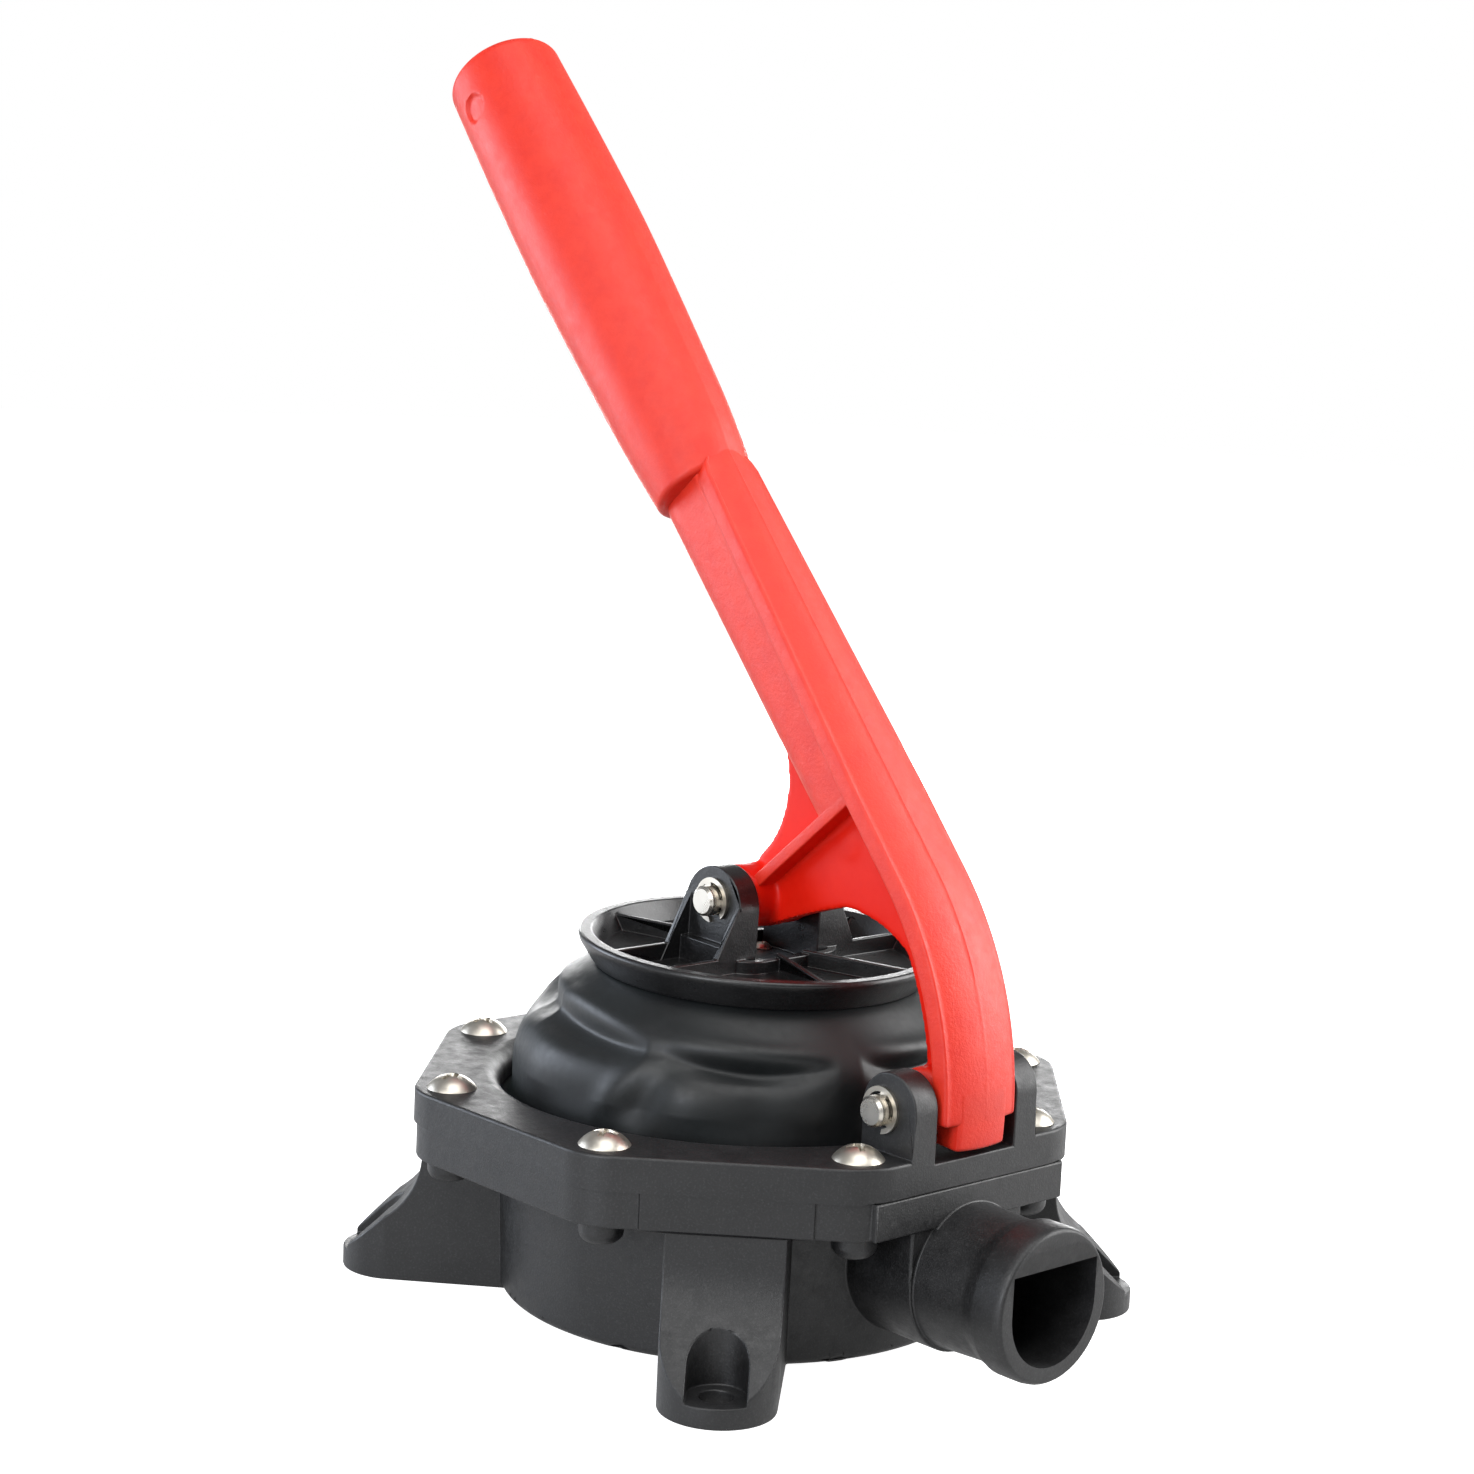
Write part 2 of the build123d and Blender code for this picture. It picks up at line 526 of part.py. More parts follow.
def clip_pair(name, x, z, seat, turn):
    for side, label in ((-1, "near"), (1, "far")):
        y = seat * side if side > 0 else -seat - CLIP_T
        shape = Pos(x, y + side * 0.05, z) * Rot(0, turn, 0) * clip()
        save(f"{name}_clip_{label}", shape)


os.makedirs("parts", exist_ok=True)
pin_x, pin_z = plate_pin()
save("pump_body", pump_body())
save("clamp_ring", clamp_ring())
save("clamp_screws", ring_of(clamp_screw(), RING_TOP))
save("threaded_inserts", ring_of(threaded_insert()))
save("diaphragm", diaphragm())
save("diaphragm_plate", diaphragm_plate())
save("inner_plate", inner_plate())
save("plate_screws", Compound(children=[PLATE * Pos(x, y, 0) * plate_screw() for x, y in PLATE_SCREWS]))
save("lever", lever())
save("fulcrum_pin", Pos(FULCRUM_X, 0, FULCRUM_Z) * hinge_pin(HOUSING_HALF_PIN, EAR_OUTER_Y))
save("plate_pin", Pos(pin_x, 0, pin_z) * hinge_pin(PLATE_HALF_PIN, LUG_OUTER_Y))
clip_pair("fulcrum", FULCRUM_X, FULCRUM_Z, EAR_OUTER_Y, 15)
clip_pair("plate", pin_x, pin_z, LUG_OUTER_Y, -20)
for port, seat_x in SEAT_X.items():
    save(f"{port}_valve_seat", valve_seat(seat_x))
    save(f"{port}_valve_flap", valve_flap(seat_x))
    save(f"{port}_flap_pin", flap_hinge(FLAP_PIN_R, FLAP_PIN_HALF, seat_x))
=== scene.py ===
from math import atan2, cos, degrees, exp, hypot, pi, radians, sin, sqrt, tan

import bmesh
import bpy
from mathutils import Matrix, Vector
from mathutils.bvhtree import BVHTree


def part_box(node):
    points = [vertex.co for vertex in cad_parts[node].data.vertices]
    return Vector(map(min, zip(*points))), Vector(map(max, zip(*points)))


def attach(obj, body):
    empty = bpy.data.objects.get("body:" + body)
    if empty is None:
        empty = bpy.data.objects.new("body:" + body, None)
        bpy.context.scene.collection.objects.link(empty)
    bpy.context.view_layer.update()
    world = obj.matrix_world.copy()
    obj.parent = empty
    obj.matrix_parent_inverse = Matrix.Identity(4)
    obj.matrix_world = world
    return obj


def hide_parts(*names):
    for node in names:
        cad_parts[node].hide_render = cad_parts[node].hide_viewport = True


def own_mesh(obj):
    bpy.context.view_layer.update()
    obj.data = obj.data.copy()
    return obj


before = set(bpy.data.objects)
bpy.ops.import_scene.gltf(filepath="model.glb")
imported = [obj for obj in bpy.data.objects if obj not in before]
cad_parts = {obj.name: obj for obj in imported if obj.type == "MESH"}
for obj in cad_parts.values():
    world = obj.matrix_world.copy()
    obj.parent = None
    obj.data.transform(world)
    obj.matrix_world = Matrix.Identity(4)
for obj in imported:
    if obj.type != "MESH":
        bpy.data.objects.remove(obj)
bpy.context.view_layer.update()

MM = 0.001                    # sizes below are millimetres, and the scene is in metres

# Places that the frame gives, in millimetres
RING_LOW, _ = (Vector(corner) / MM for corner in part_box("clamp_ring"))
FULCRUM_LOW, FULCRUM_HIGH = (Vector(corner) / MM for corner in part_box("fulcrum_pin"))
PIVOT = (FULCRUM_LOW + FULCRUM_HIGH) / 2
PLATE_PIN_LOW, PLATE_PIN_HIGH = (Vector(corner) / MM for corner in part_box("plate_pin"))
PLATE_PIN = (PLATE_PIN_LOW + PLATE_PIN_HIGH) / 2

# Lever: a bar that leans back, then bends down to the fulcrum.
# Bar coordinates are (a, t): a out from the origin across the bar, t up along it.
LEAN_DEGREES = 40.2
LEAN = radians(LEAN_DEGREES)
ACROSS = Vector((cos(LEAN), 0, sin(LEAN)))
ALONG = Vector((-sin(LEAN), 0, cos(LEAN)))
BEND_CENTRE = Vector((-3.1, 0, 67.7))
BEND_R = 91.5                 # to the crown of the outer flange
CROWN_A = BEND_CENTRE.dot(ACROSS) + BEND_R
BEND_T = BEND_CENTRE.dot(ALONG)
CROWN_RISE = 2.3
FLANGE_DEPTH = 6.9            # crown to the underside of the side strip
FLANGE_HALF = 12.8
FLANGE_HALF_AT_GRIP = 9.0
TAPER_T = (78.0, 192.0)       # the flange narrows from here to here
BODY_HALF = 9.2               # radius of the rounded inner side, whose axis draws in towards the grip
BODY_A_LOW, BODY_A_HIGH = 116.9, 115.2
RIB_T, RIB_A = (79.3, 82.5), 76.4            # the cross rib, and where it starts beside the web
WEB_HALF = 3.0
WEB_INNER_R = 73.7
KNUCKLE_R, KNUCKLE_HALF = 8.7, 10.8
PIVOT_R, PIVOT_HALF = 8.6, 9.3
TONGUE_HALF, TONGUE_DEPTH = 8.6, 8.0         # the flange runs on below as a narrow tongue
TONGUE_RISE, TONGUE_EDGE = 1.0, 1.2
FLANGE_END, TONGUE_START, TONGUE_END = radians(-0.3), radians(4.0), radians(-4.5)
SEAM, SEAM_AT_BEND = 0.16, 0.05              # depth of the parting line along the crown
CORE_VOXEL, CORE_ROUNDS = 0.72, 7            # how finely the core is fused, and how far its corners soften
GRIP_A = 119.2
GRIP_T = (181.0, 330.6)       # its lip, and the edge of its end
GRIP_LIP_R, GRIP_LIP_EDGE = 14.2, 1.6
GRIP_END_R, GRIP_RIM, GRIP_DOME = 16.6, 3.4, 0.8                # radii of the end and its rim, and its rise
GRIP_SEAM, GRIP_SEAM_HALF = 0.14, 0.5        # the mould's parting line, along the outer side
RUN_OUT_T, RUN_OUT_DEPTH = 14.0, 1.35        # the lip dies away on the flange's crown
DIMPLE_T, DIMPLE_ANGLE, DIMPLE_R, DIMPLE_DEPTH = 315.8, -92.0, 3.8, 1.0

# Diaphragm, clamp screws and plate screws
RUBBER_T = 2.6
RING_TOP, SCREW_CIRCLE_R = 59.0, 81.6
SCREW_HEAD_R, SCREW_HEAD_H = 6.6, 3.6
SCREW_SHANK_R, SCREW_LENGTH = 2.95, 20.0
PLATE_CENTRE = Vector((3.64, 0, 97.64))
PLATE_TILT = radians(2.2)
DISH_FLOOR = -5.6             # below the plate's centre
PLATE_SCREW_GRID = (14.6, 16.0)
SKIRT_TOP = 89.35             # where the rubber reaches the plate

# Housing: the bowl meets the ring at the parting plane, and the spigots lie along X
PARTING_Z = 50.0
PORT_Z, PORT_MOUTH_R, PORT_MOUTH_X = 26.0, 18.4, 112.0
SPIGOT_ROOT_X, BORE_X = 84, 50               # the spigots leave the ring here, and bores lie beyond here
BOWL_EDGE, RING_EDGE, PLATE_EDGE = 0.45, 0.5, 0.35              # how far sharp edges are broken
SHARP_DEGREES, CRISP_DEGREES = 28, 40        # edges that are broken, and edges that are shaded crisp


# ------------------------------------------------------------------ mesh helpers

def new_piece(name, bm, smooth_angle=None):
    """A finished piece from a bmesh in millimetres; edges sharper than smooth_angle degrees stay crisp."""
    bmesh.ops.scale(bm, vec=(MM, MM, MM), verts=bm.verts)
    mesh = bpy.data.meshes.new(name)
    bm.to_mesh(mesh)
    bm.free()
    piece = bpy.data.objects.new(name, mesh)
    bpy.context.scene.collection.objects.link(piece)
    shade(mesh, smooth_angle)
    return piece


def shade(mesh, smooth_angle=None):
    """Smooth shading, with edges sharper than smooth_angle degrees marked sharp."""
    mesh.shade_smooth()
    if smooth_angle is not None:
        mesh.set_sharp_from_angle(angle=radians(smooth_angle))


def settle(piece):
    """Makes a piece's modifiers its mesh."""
    depsgraph = bpy.context.evaluated_depsgraph_get()
    mesh = bpy.data.meshes.new_from_object(piece.evaluated_get(depsgraph), depsgraph=depsgraph)
    piece.modifiers.clear()
    piece.data = mesh
    return piece


def add_grid(bm, rows, capped=True):
    """Skins rows of points, each row a closed loop, with a flat cap on the first and last row if capped."""
    rings = [[bm.verts.new(point) for point in row] for row in rows]
    count = len(rings[0])
    for low, high in zip(rings, rings[1:]):
        for i in range(count):
            j = (i + 1) % count
            bm.faces.new((low[i], low[j], high[j], high[i]))
    if capped:
        bm.faces.new(list(reversed(rings[0])))
        bm.faces.new(rings[-1])
    return rings


def tidy_normals(bm):
    """Merges doubles and turns every face outwards."""
    bmesh.ops.remove_doubles(bm, verts=bm.verts, dist=0.0005)
    bmesh.ops.recalc_face_normals(bm, faces=bm.faces)


def share_of(value, start, end):
    """How far value is from start to end, between 0 and 1."""
    return min(max((value - start) / (end - start), 0.0), 1.0)


def turn_between(angle, middle):
    """Degrees from middle to angle, between -180 and 180."""
    return (angle - middle + 180) % 360 - 180


def bar(a, t, y=0.0):
    """The point of the bar at a across, t along and y sideways."""
    return ACROSS * a + ALONG * t + Vector((0, y, 0))


def arc_points(start, middle, end, steps):
    """Points of the arc through three (x, z) points, without its first point."""
    (ax, ay), (bx, by), (cx, cy) = start, middle, end
    d = 2 * (ax * (by - cy) + bx * (cy - ay) + cx * (ay - by))
    aa, bb, cc = ax * ax + ay * ay, bx * bx + by * by, cx * cx + cy * cy
    ux = (aa * (by - cy) + bb * (cy - ay) + cc * (ay - by)) / d
    uy = (aa * (cx - bx) + bb * (ax - cx) + cc * (bx - ax)) / d
    radius = hypot(ax - ux, ay - uy)
    a0, a1, a2 = (atan2(y - uy, x - ux) for x, y in (start, middle, end))
    turn = (a2 - a0) % (2 * pi)
    if (a1 - a0) % (2 * pi) > turn:
        turn -= 2 * pi
    return [(ux + radius * cos(a0 + turn * i / steps), uy + radius * sin(a0 + turn * i / steps))
            for i in range(1, steps + 1)]


def rounded(points, radius, steps):
    """A closed (u, v) outline with its corners rounded."""
    outline = []
    for i, corner in enumerate(points):
        here = Vector(corner)
        before = (Vector(points[i - 1]) - here).normalized()
        after = (Vector(points[(i + 1) % len(points)]) - here).normalized()
        half = before.angle(after) / 2
        reach = radius / tan(half)
        centre = here + (before + after).normalized() * radius / sin(half)
        first, last = here + before * reach, here + after * reach
        start = atan2(first.y - centre.y, first.x - centre.x)
        turn = (atan2(last.y - centre.y, last.x - centre.x) - start + pi) % (2 * pi) - pi
        for k in range(steps + 1):
            angle = start + turn * k / steps
            outline.append((centre.x + radius * cos(angle), centre.y + radius * sin(angle)))
    return outline


def add_prism(bm, outline, half):
    """A solid from an (x, z) outline, from y = -half to y = half."""
    add_grid(bm, [[(x, y, z) for x, z in outline] for y in (-half, half)])


def add_boss(bm, radius, half, x, z, round_edge):
    """A boss along Y with rounded rims."""
    around = 72
    rims = [(-half, radius - round_edge)]
    for k in range(7):
        turn = k / 6 * pi / 2
        rims.append((-half + round_edge * (1 - cos(turn)), radius - round_edge * (1 - sin(turn))))
    rims += [(-along, r) for along, r in reversed(rims)]
    turns = [2 * pi * i / around for i in range(around)]
    add_grid(bm, [[(x + r * cos(turn), along, z + r * sin(turn)) for turn in turns] for along, r in rims])


def remeshed(name, bm, voxel, rounds):
    """Fuses a bmesh's overlapping solids into one skin whose inner corners are softly filleted."""
    tidy_normals(bm)
    piece = new_piece(name, bm)
    remesh = piece.modifiers.new("fuse", "REMESH")
    remesh.mode = "VOXEL"
    remesh.voxel_size = voxel * MM
    remesh.use_smooth_shade = True
    soften = piece.modifiers.new("soften", "SMOOTH")
    soften.factor = 0.5
    soften.iterations = rounds
    return settle(piece)


def cad_copy(node):
    """A merged bmesh of a CAD node's mesh, in millimetres."""
    bm = bmesh.new()
    bm.from_mesh(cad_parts[node].data)
    bmesh.ops.remove_doubles(bm, verts=bm.verts, dist=0.00001)
    bmesh.ops.scale(bm, vec=(1 / MM, 1 / MM, 1 / MM), verts=bm.verts)
    return bm


def stays_sharp(edge):
    """The parting faces meet in a tight line except over the spigots, whose bores have sharp mouths."""
    low, high = (vert.co for vert in edge.verts)
    at_parting = max(abs(low.z - PARTING_Z), abs(high.z - PARTING_Z)) < 0.05 and abs(low.x) < SPIGOT_ROOT_X
    in_bore = all(abs(co.x) > BORE_X and hypot(co.y, co.z - PORT_Z) < PORT_MOUTH_R for co in (low, high))
    return at_parting or in_bore


def is_ring_face(face):
    """The spigots' mouths, and the level faces round the bowl up to the parting plane."""
    at_mouth = all(abs(vert.co.x) > PORT_MOUTH_X for vert in face.verts)
    return at_mouth or (abs(face.normal.z) > 0.999 and face.verts[0].co.z < PARTING_Z + 0.1)


def edge_broken(name, node, width):
    """A copy of a CAD node whose sharp edges get the small radius that a mould or a tumbler leaves."""
    bm = cad_copy(node)
    bmesh.ops.dissolve_limit(bm, angle_limit=radians(1.2), verts=bm.verts, edges=bm.edges)
    rings = [face for face in bm.faces if len(face.verts) > 12 and is_ring_face(face)]
    bmesh.ops.triangulate(bm, faces=rings)      # so that no face spans a hole
    surface = BVHTree.FromBMesh(bm)
    weight = bm.edges.layers.float.new("bevel_weight_edge")
    for edge in bm.edges:
        if edge.is_manifold and edge.calc_face_angle(0.0) > radians(SHARP_DEGREES) and not stays_sharp(edge):
            edge[weight] = 1.0
    piece = new_piece(name, bm)
    bevel = piece.modifiers.new("break edges", "BEVEL")
    bevel.width = width * MM
    bevel.segments = 2
    bevel.limit_method = "WEIGHT"
    bevel.use_clamp_overlap = False
    settle(piece)
    low, high = (Vector(corner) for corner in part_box(node))
    for vert in piece.data.vertices:            # nothing may stand off the moulding where bevels meet
        nearest, _, _, away = surface.find_nearest(vert.co / MM)
        if away > width * 2.5:
            vert.co = nearest * MM
        vert.co = [min(max(value, least), most) for value, least, most in zip(vert.co, low, high)]
    shade(piece.data, CRISP_DEGREES)
    weights = piece.modifiers.new("flat faces stay flat", "WEIGHTED_NORMAL")
    weights.mode = "FACE_AREA"
    weights.weight = 70
    weights.keep_sharp = True
    return settle(piece)


# ------------------------------------------------------------------ material helpers

def srgb(code):
    """An sRGB hex colour as linear red, green, blue and alpha."""
    channels = [int(code[i:i + 2], 16) / 255 for i in (1, 3, 5)]
    return tuple(c / 12.92 if c <= 0.04045 else ((c + 0.055) / 1.055) ** 2.4 for c in channels) + (1.0,)


def add(tree, kind, inputs=None, **settings):
    """Adds a node with its settings; an input that is a socket is linked, and any other is set."""
    node = tree.nodes.new(kind)
    for name, value in settings.items():
        setattr(node, name, value)
    for key, value in (inputs or {}).items():
        if isinstance(value, bpy.types.NodeSocket):
            tree.links.new(value, node.inputs[key])
        else:
            node.inputs[key].default_value = value
    return node


def new_material(name):
    """A material's tree with its output, and object coordinates for the patterns."""
    material = bpy.data.materials.new(name)
    material.use_nodes = True
    tree = material.node_tree
    tree.nodes.clear()
    output = add(tree, "ShaderNodeOutputMaterial")
    place = add(tree, "ShaderNodeTexCoord").outputs["Object"]
    return material, tree, output, place


def noise(tree, place, size_mm, detail=3.0, roughness=0.55):
    """Noise whose blotches are about size_mm across."""
    return add(tree, "ShaderNodeTexNoise", {"Vector": place, "Scale": 1 / (size_mm * MM), "Detail": detail,
                                             "Roughness": roughness}).outputs["Fac"]


def ramp(tree, factor, stops):
    """A colour ramp from (position, hex) or (position, grey value) stops."""
    node = add(tree, "ShaderNodeValToRGB", {"Fac": factor})
    elements = node.color_ramp.elements
    while len(elements) < len(stops):
        elements.new(0.5)
    for element, (position, value) in zip(elements, stops):
        element.position = position
        element.color = srgb(value) if isinstance(value, str) else (value, value, value, 1.0)
    return node.outputs["Color"]


def bumped(tree, height, depth_mm, normal=None):
    """A bump of depth_mm from a height between 0 and 1."""
    inputs = {"Height": height, "Distance": depth_mm * MM, "Strength": 1.0}
    if normal is not None:
        inputs["Normal"] = normal
    return add(tree, "ShaderNodeBump", inputs).outputs["Normal"]


def mixed(tree, factor, low, high):
    """The blend of two colours, each a socket or a hex colour."""
    node = add(tree, "ShaderNodeMix", data_type="RGBA")
    for key, value in ((0, factor), (6, low), (7, high)):
        if isinstance(value, bpy.types.NodeSocket):
            tree.links.new(value, node.inputs[key])
        else:
            node.inputs[key].default_value = srgb(value) if isinstance(value, str) else value
    return node.outputs[2]


def scaled(tree, value, factor):
    """A value times a factor."""
    return add(tree, "ShaderNodeMath", {0: value, 1: factor}, operation="MULTIPLY").outputs[0]


# ------------------------------------------------------------------ materials

def glass_filled_nylon(name, rough_low, rough_high):
    """Injection-moulded nylon with glass fibre, black: charcoal with a fine spark-eroded grain,
    faint flow mottling and fibres that catch the light."""
    material, tree, output, place = new_material(name)
    flow = noise(tree, place, 14, 4)
    fibre = noise(tree, place, 0.55, 2)
    scuff = noise(tree, place, 4.5, 6, 0.75)
    tone = ramp(tree, flow, [(0.30, "#0e0e0f"), (0.72, "#19191a")])
    speck = ramp(tree, fibre, [(0.52, 0.0), (0.74, 1.0)])
    colour = mixed(tree, scaled(tree, speck, 0.28), tone, "#434344")
    rough = ramp(tree, scuff, [(0.25, rough_low), (0.75, rough_high)])
    grain = bumped(tree, fibre, 0.05)
    skin = bumped(tree, scuff, 0.06, grain)
    shader = add(tree, "ShaderNodeBsdfPrincipled", {
        "Base Color": colour, "Roughness": rough, "Normal": skin, "IOR": 1.53})
    tree.links.new(shader.outputs[0], output.inputs["Surface"])
    return material


def scarlet_polypropylene(name, low, high, roughness, grain_mm, specular, sheen):
    """Injection-moulded polypropylene, scarlet and slightly waxy. Spark-eroded faces scatter a pale bloom
    with a visible grain, and the faces that the mould left smooth stay deep red."""
    material, tree, output, place = new_material(name)
    flow = noise(tree, place, 7.0, 5, 0.7)
    grain = noise(tree, place, 0.9, 4, 0.7)
    wear = noise(tree, place, 3.0, 4, 0.65)
    colour = mixed(tree, scaled(tree, grain, 0.35), ramp(tree, flow, [(0.32, low), (0.68, high)]), high)
    rough = ramp(tree, wear, [(0.3, roughness - 0.07), (0.7, roughness + 0.07)])
    skin = bumped(tree, wear, grain_mm / 2, bumped(tree, grain, grain_mm))
    shader = add(tree, "ShaderNodeBsdfPrincipled", {
        "Base Color": colour, "Roughness": rough, "Normal": skin, "IOR": 1.49, "Subsurface Weight": 0.08,
        "Subsurface Radius": (1.0, 0.25, 0.15), "Subsurface Scale": 0.0016, "Specular IOR Level": specular,
        "Sheen Weight": sheen, "Sheen Roughness": 0.35, "Sheen Tint": srgb("#ffb49a")})
    tree.links.new(shader.outputs[0], output.inputs["Surface"])
    return material


def nitrile_rubber():
    """Compression-moulded nitrile rubber: near black with a soft blue-green bloom and slow highlights."""
    material, tree, output, place = new_material("nitrile_rubber_black")
    bloom = noise(tree, place, 26, 3)
    skin_noise = noise(tree, place, 2.4, 4, 0.6)
    colour = ramp(tree, bloom, [(0.32, "#0a0b0c"), (0.70, "#121617")])
    rough = ramp(tree, skin_noise, [(0.3, 0.42), (0.7, 0.52)])
    skin = bumped(tree, skin_noise, 0.02)
    shader = add(tree, "ShaderNodeBsdfPrincipled", {
        "Base Color": colour, "Roughness": rough, "Normal": skin, "IOR": 1.52, "Specular IOR Level": 0.42,
        "Sheen Weight": 0.06, "Sheen Roughness": 0.4, "Sheen Tint": srgb("#5f7f84")})
    tree.links.new(shader.outputs[0], output.inputs["Surface"])
    return material


def flap_rubber():
    """Cut sheet rubber for the valve flaps: dark grey, duller than the diaphragm, with talc in its pores."""
    material, tree, output, place = new_material("sheet_rubber_grey")
    talc = noise(tree, place, 1.6, 5, 0.7)
    colour = ramp(tree, talc, [(0.45, "#191a1b"), (0.80, "#3a3c3c")])
    skin = bumped(tree, talc, 0.03)
    shader = add(tree, "ShaderNodeBsdfPrincipled", {"Base Color": colour, "Roughness": 0.72, "Normal": skin})
    tree.links.new(shader.outputs[0], output.inputs["Surface"])
    return material


def bright_stainless(name, rough_low, rough_high, scratch_mm):
    """Cold-headed stainless steel, tumbled bright: warm grey reflections, softened by fine handling marks."""
    material, tree, output, place = new_material(name)
    marks = noise(tree, place, 2.2, 3, 0.5)
    tone = ramp(tree, noise(tree, place, 6, 2), [(0.3, "#c2bcb0"), (0.7, "#d2ccc1")])
    rough = ramp(tree, marks, [(0.3, rough_low), (0.75, rough_high)])
    skin = bumped(tree, marks, scratch_mm)
    shader = add(tree, "ShaderNodeBsdfPrincipled", {"Base Color": tone, "Metallic": 1.0, "Roughness": rough,
                                                     "Normal": skin})
    tree.links.new(shader.outputs[0], output.inputs["Surface"])
    return material


def turned_stainless():
    """Stainless bar turned in a lathe: fine rings round the axis, along Y, that spread its highlight."""
    material, tree, output, place = new_material("stainless_turned")
    rings = add(tree, "ShaderNodeTexNoise", {
        "Vector": add(tree, "ShaderNodeMapping", {"Vector": place, "Scale": (0.15, 6.0, 0.15)}).outputs[0],
        "Scale": 1 / (0.9 * MM), "Detail": 2.0}).outputs["Fac"]
    tone = ramp(tree, rings, [(0.3, "#c4bfb6"), (0.7, "#d2cdc4")])
    rough = ramp(tree, rings, [(0.3, 0.24), (0.7, 0.30)])
    shader = add(tree, "ShaderNodeBsdfPrincipled", {"Base Color": tone, "Metallic": 1.0, "Roughness": rough,
                                                     "Normal": bumped(tree, rings, 0.0008)})
    tree.links.new(shader.outputs[0], output.inputs["Surface"])
    return material


def brass():
    """Machined brass for the moulded-in inserts: yellow with a brown tarnish in its hollows."""
    material, tree, output, place = new_material("brass_machined")
    tarnish = noise(tree, place, 2.0, 4)
    tone = ramp(tree, tarnish, [(0.3, "#a07a35"), (0.7, "#d9b566")])
    rough = ramp(tree, tarnish, [(0.3, 0.42), (0.7, 0.22)])
    shader = add(tree, "ShaderNodeBsdfPrincipled", {"Base Color": tone, "Metallic": 1.0, "Roughness": rough})
    tree.links.new(shader.outputs[0], output.inputs["Surface"])
    return material


def valve_nylon():
    """Unfilled moulded nylon for the valve seats: dark grey, smoother than the housing."""
    material, tree, output, place = new_material("nylon_dark_grey")
    flow = noise(tree, place, 7, 3)
    tone = ramp(tree, flow, [(0.3, "#2c2d2e"), (0.7, "#37383a")])
    rough = ramp(tree, flow, [(0.3, 0.36), (0.7, 0.48)])
    skin = bumped(tree, noise(tree, place, 0.5, 2), 0.012)
    shader = add(tree, "ShaderNodeBsdfPrincipled", {"Base Color": tone, "Roughness": rough, "Normal": skin})
    tree.links.new(shader.outputs[0], output.inputs["Surface"])
    return material


NYLON = glass_filled_nylon("glass_filled_nylon_matt", 0.34, 0.62)
PLATE_NYLON = glass_filled_nylon("glass_filled_nylon_satin", 0.24, 0.40)
SCARLET = scarlet_polypropylene("polypropylene_scarlet_grained", "#d02010", "#dc2f18",
                                roughness=0.48, grain_mm=0.12, specular=0.50, sheen=0.12)
SCARLET_SMOOTH = scarlet_polypropylene("polypropylene_scarlet_smooth", "#d81709", "#de1f0d",
                                       roughness=0.36, grain_mm=0.02, specular=0.18, sheen=0.0)
RUBBER = nitrile_rubber()
FLAP_RUBBER = flap_rubber()
SCREW_STEEL = bright_stainless("stainless_polished", 0.34, 0.42, 0.002)
CLIP_STEEL = bright_stainless("stainless_stamped", 0.30, 0.36, 0.001)
PIN_STEEL = turned_stainless()
BRASS = brass()
VALVE_NYLON = valve_nylon()


def finish_piece(piece, body, slot, material, *nodes):
    """Says what a piece is: its material, the body it rides on and the CAD nodes it stands for. The slot is
    not used.
    """
    piece.data.materials.clear()
    piece.data.materials.append(material)
    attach(piece, body)
    if nodes:
        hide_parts(*nodes)


def repaint(material, *nodes):
    """Gives CAD nodes that stay as they are a finished material."""
    for node in nodes:
        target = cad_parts[node]
        for place in target.material_slots:
            place.material = material


# ------------------------------------------------------------------ lever

def flange_half(t):
    """The outer flange's half-width at t."""
    return FLANGE_HALF + (FLANGE_HALF_AT_GRIP - FLANGE_HALF) * share_of(t, *TAPER_T)


def flange_section(half, seam, inset=0.0):
    """The outer flange's section as (y, depth below the crown): crowned face with a parting-line seam,
    small rolled lips and a flat side strip."""
    half -= inset
    top = [(0.0, inset - seam), (0.35, inset)]
    for k in range(1, 13):
        y = 0.35 + (half - 1.1 - 0.35) * k / 12
        top.append((y, CROWN_RISE * (y / half) ** 2 + inset))
    lip = CROWN_RISE * ((half - 1.1) / half) ** 2 + inset
    foot = FLANGE_DEPTH - inset
    top += [(half - 0.8, lip - 0.10), (half - 0.42, lip - 0.02), (half - 0.12, lip + 0.32)]
    top += [(half, lip + 0.8), (half, foot - 0.9), (half - 0.1, foot - 0.4), (half - 0.45, foot - 0.08),
            (half - 1.0, foot)]
    return top + [(-y, depth) for y, depth in reversed(top[1:])]


def bar_stations(low_angle, high_t):
    """(foot of the section, outward direction, half-width, t) down the bar and round the bend."""
    stations = []
    t = high_t
    while t > BEND_T:
        stations.append((bar(CROWN_A, t), ACROSS, flange_half(t), t))
        t -= 3.0
    steps = 40
    for k in range(steps + 1):
        angle = LEAN + (low_angle - LEAN) * k / steps
        out = Vector((cos(angle), 0, sin(angle)))
        along = BEND_T + BEND_R * (angle - LEAN)
        stations.append((BEND_CENTRE + out * BEND_R, out, FLANGE_HALF, along))
    return stations


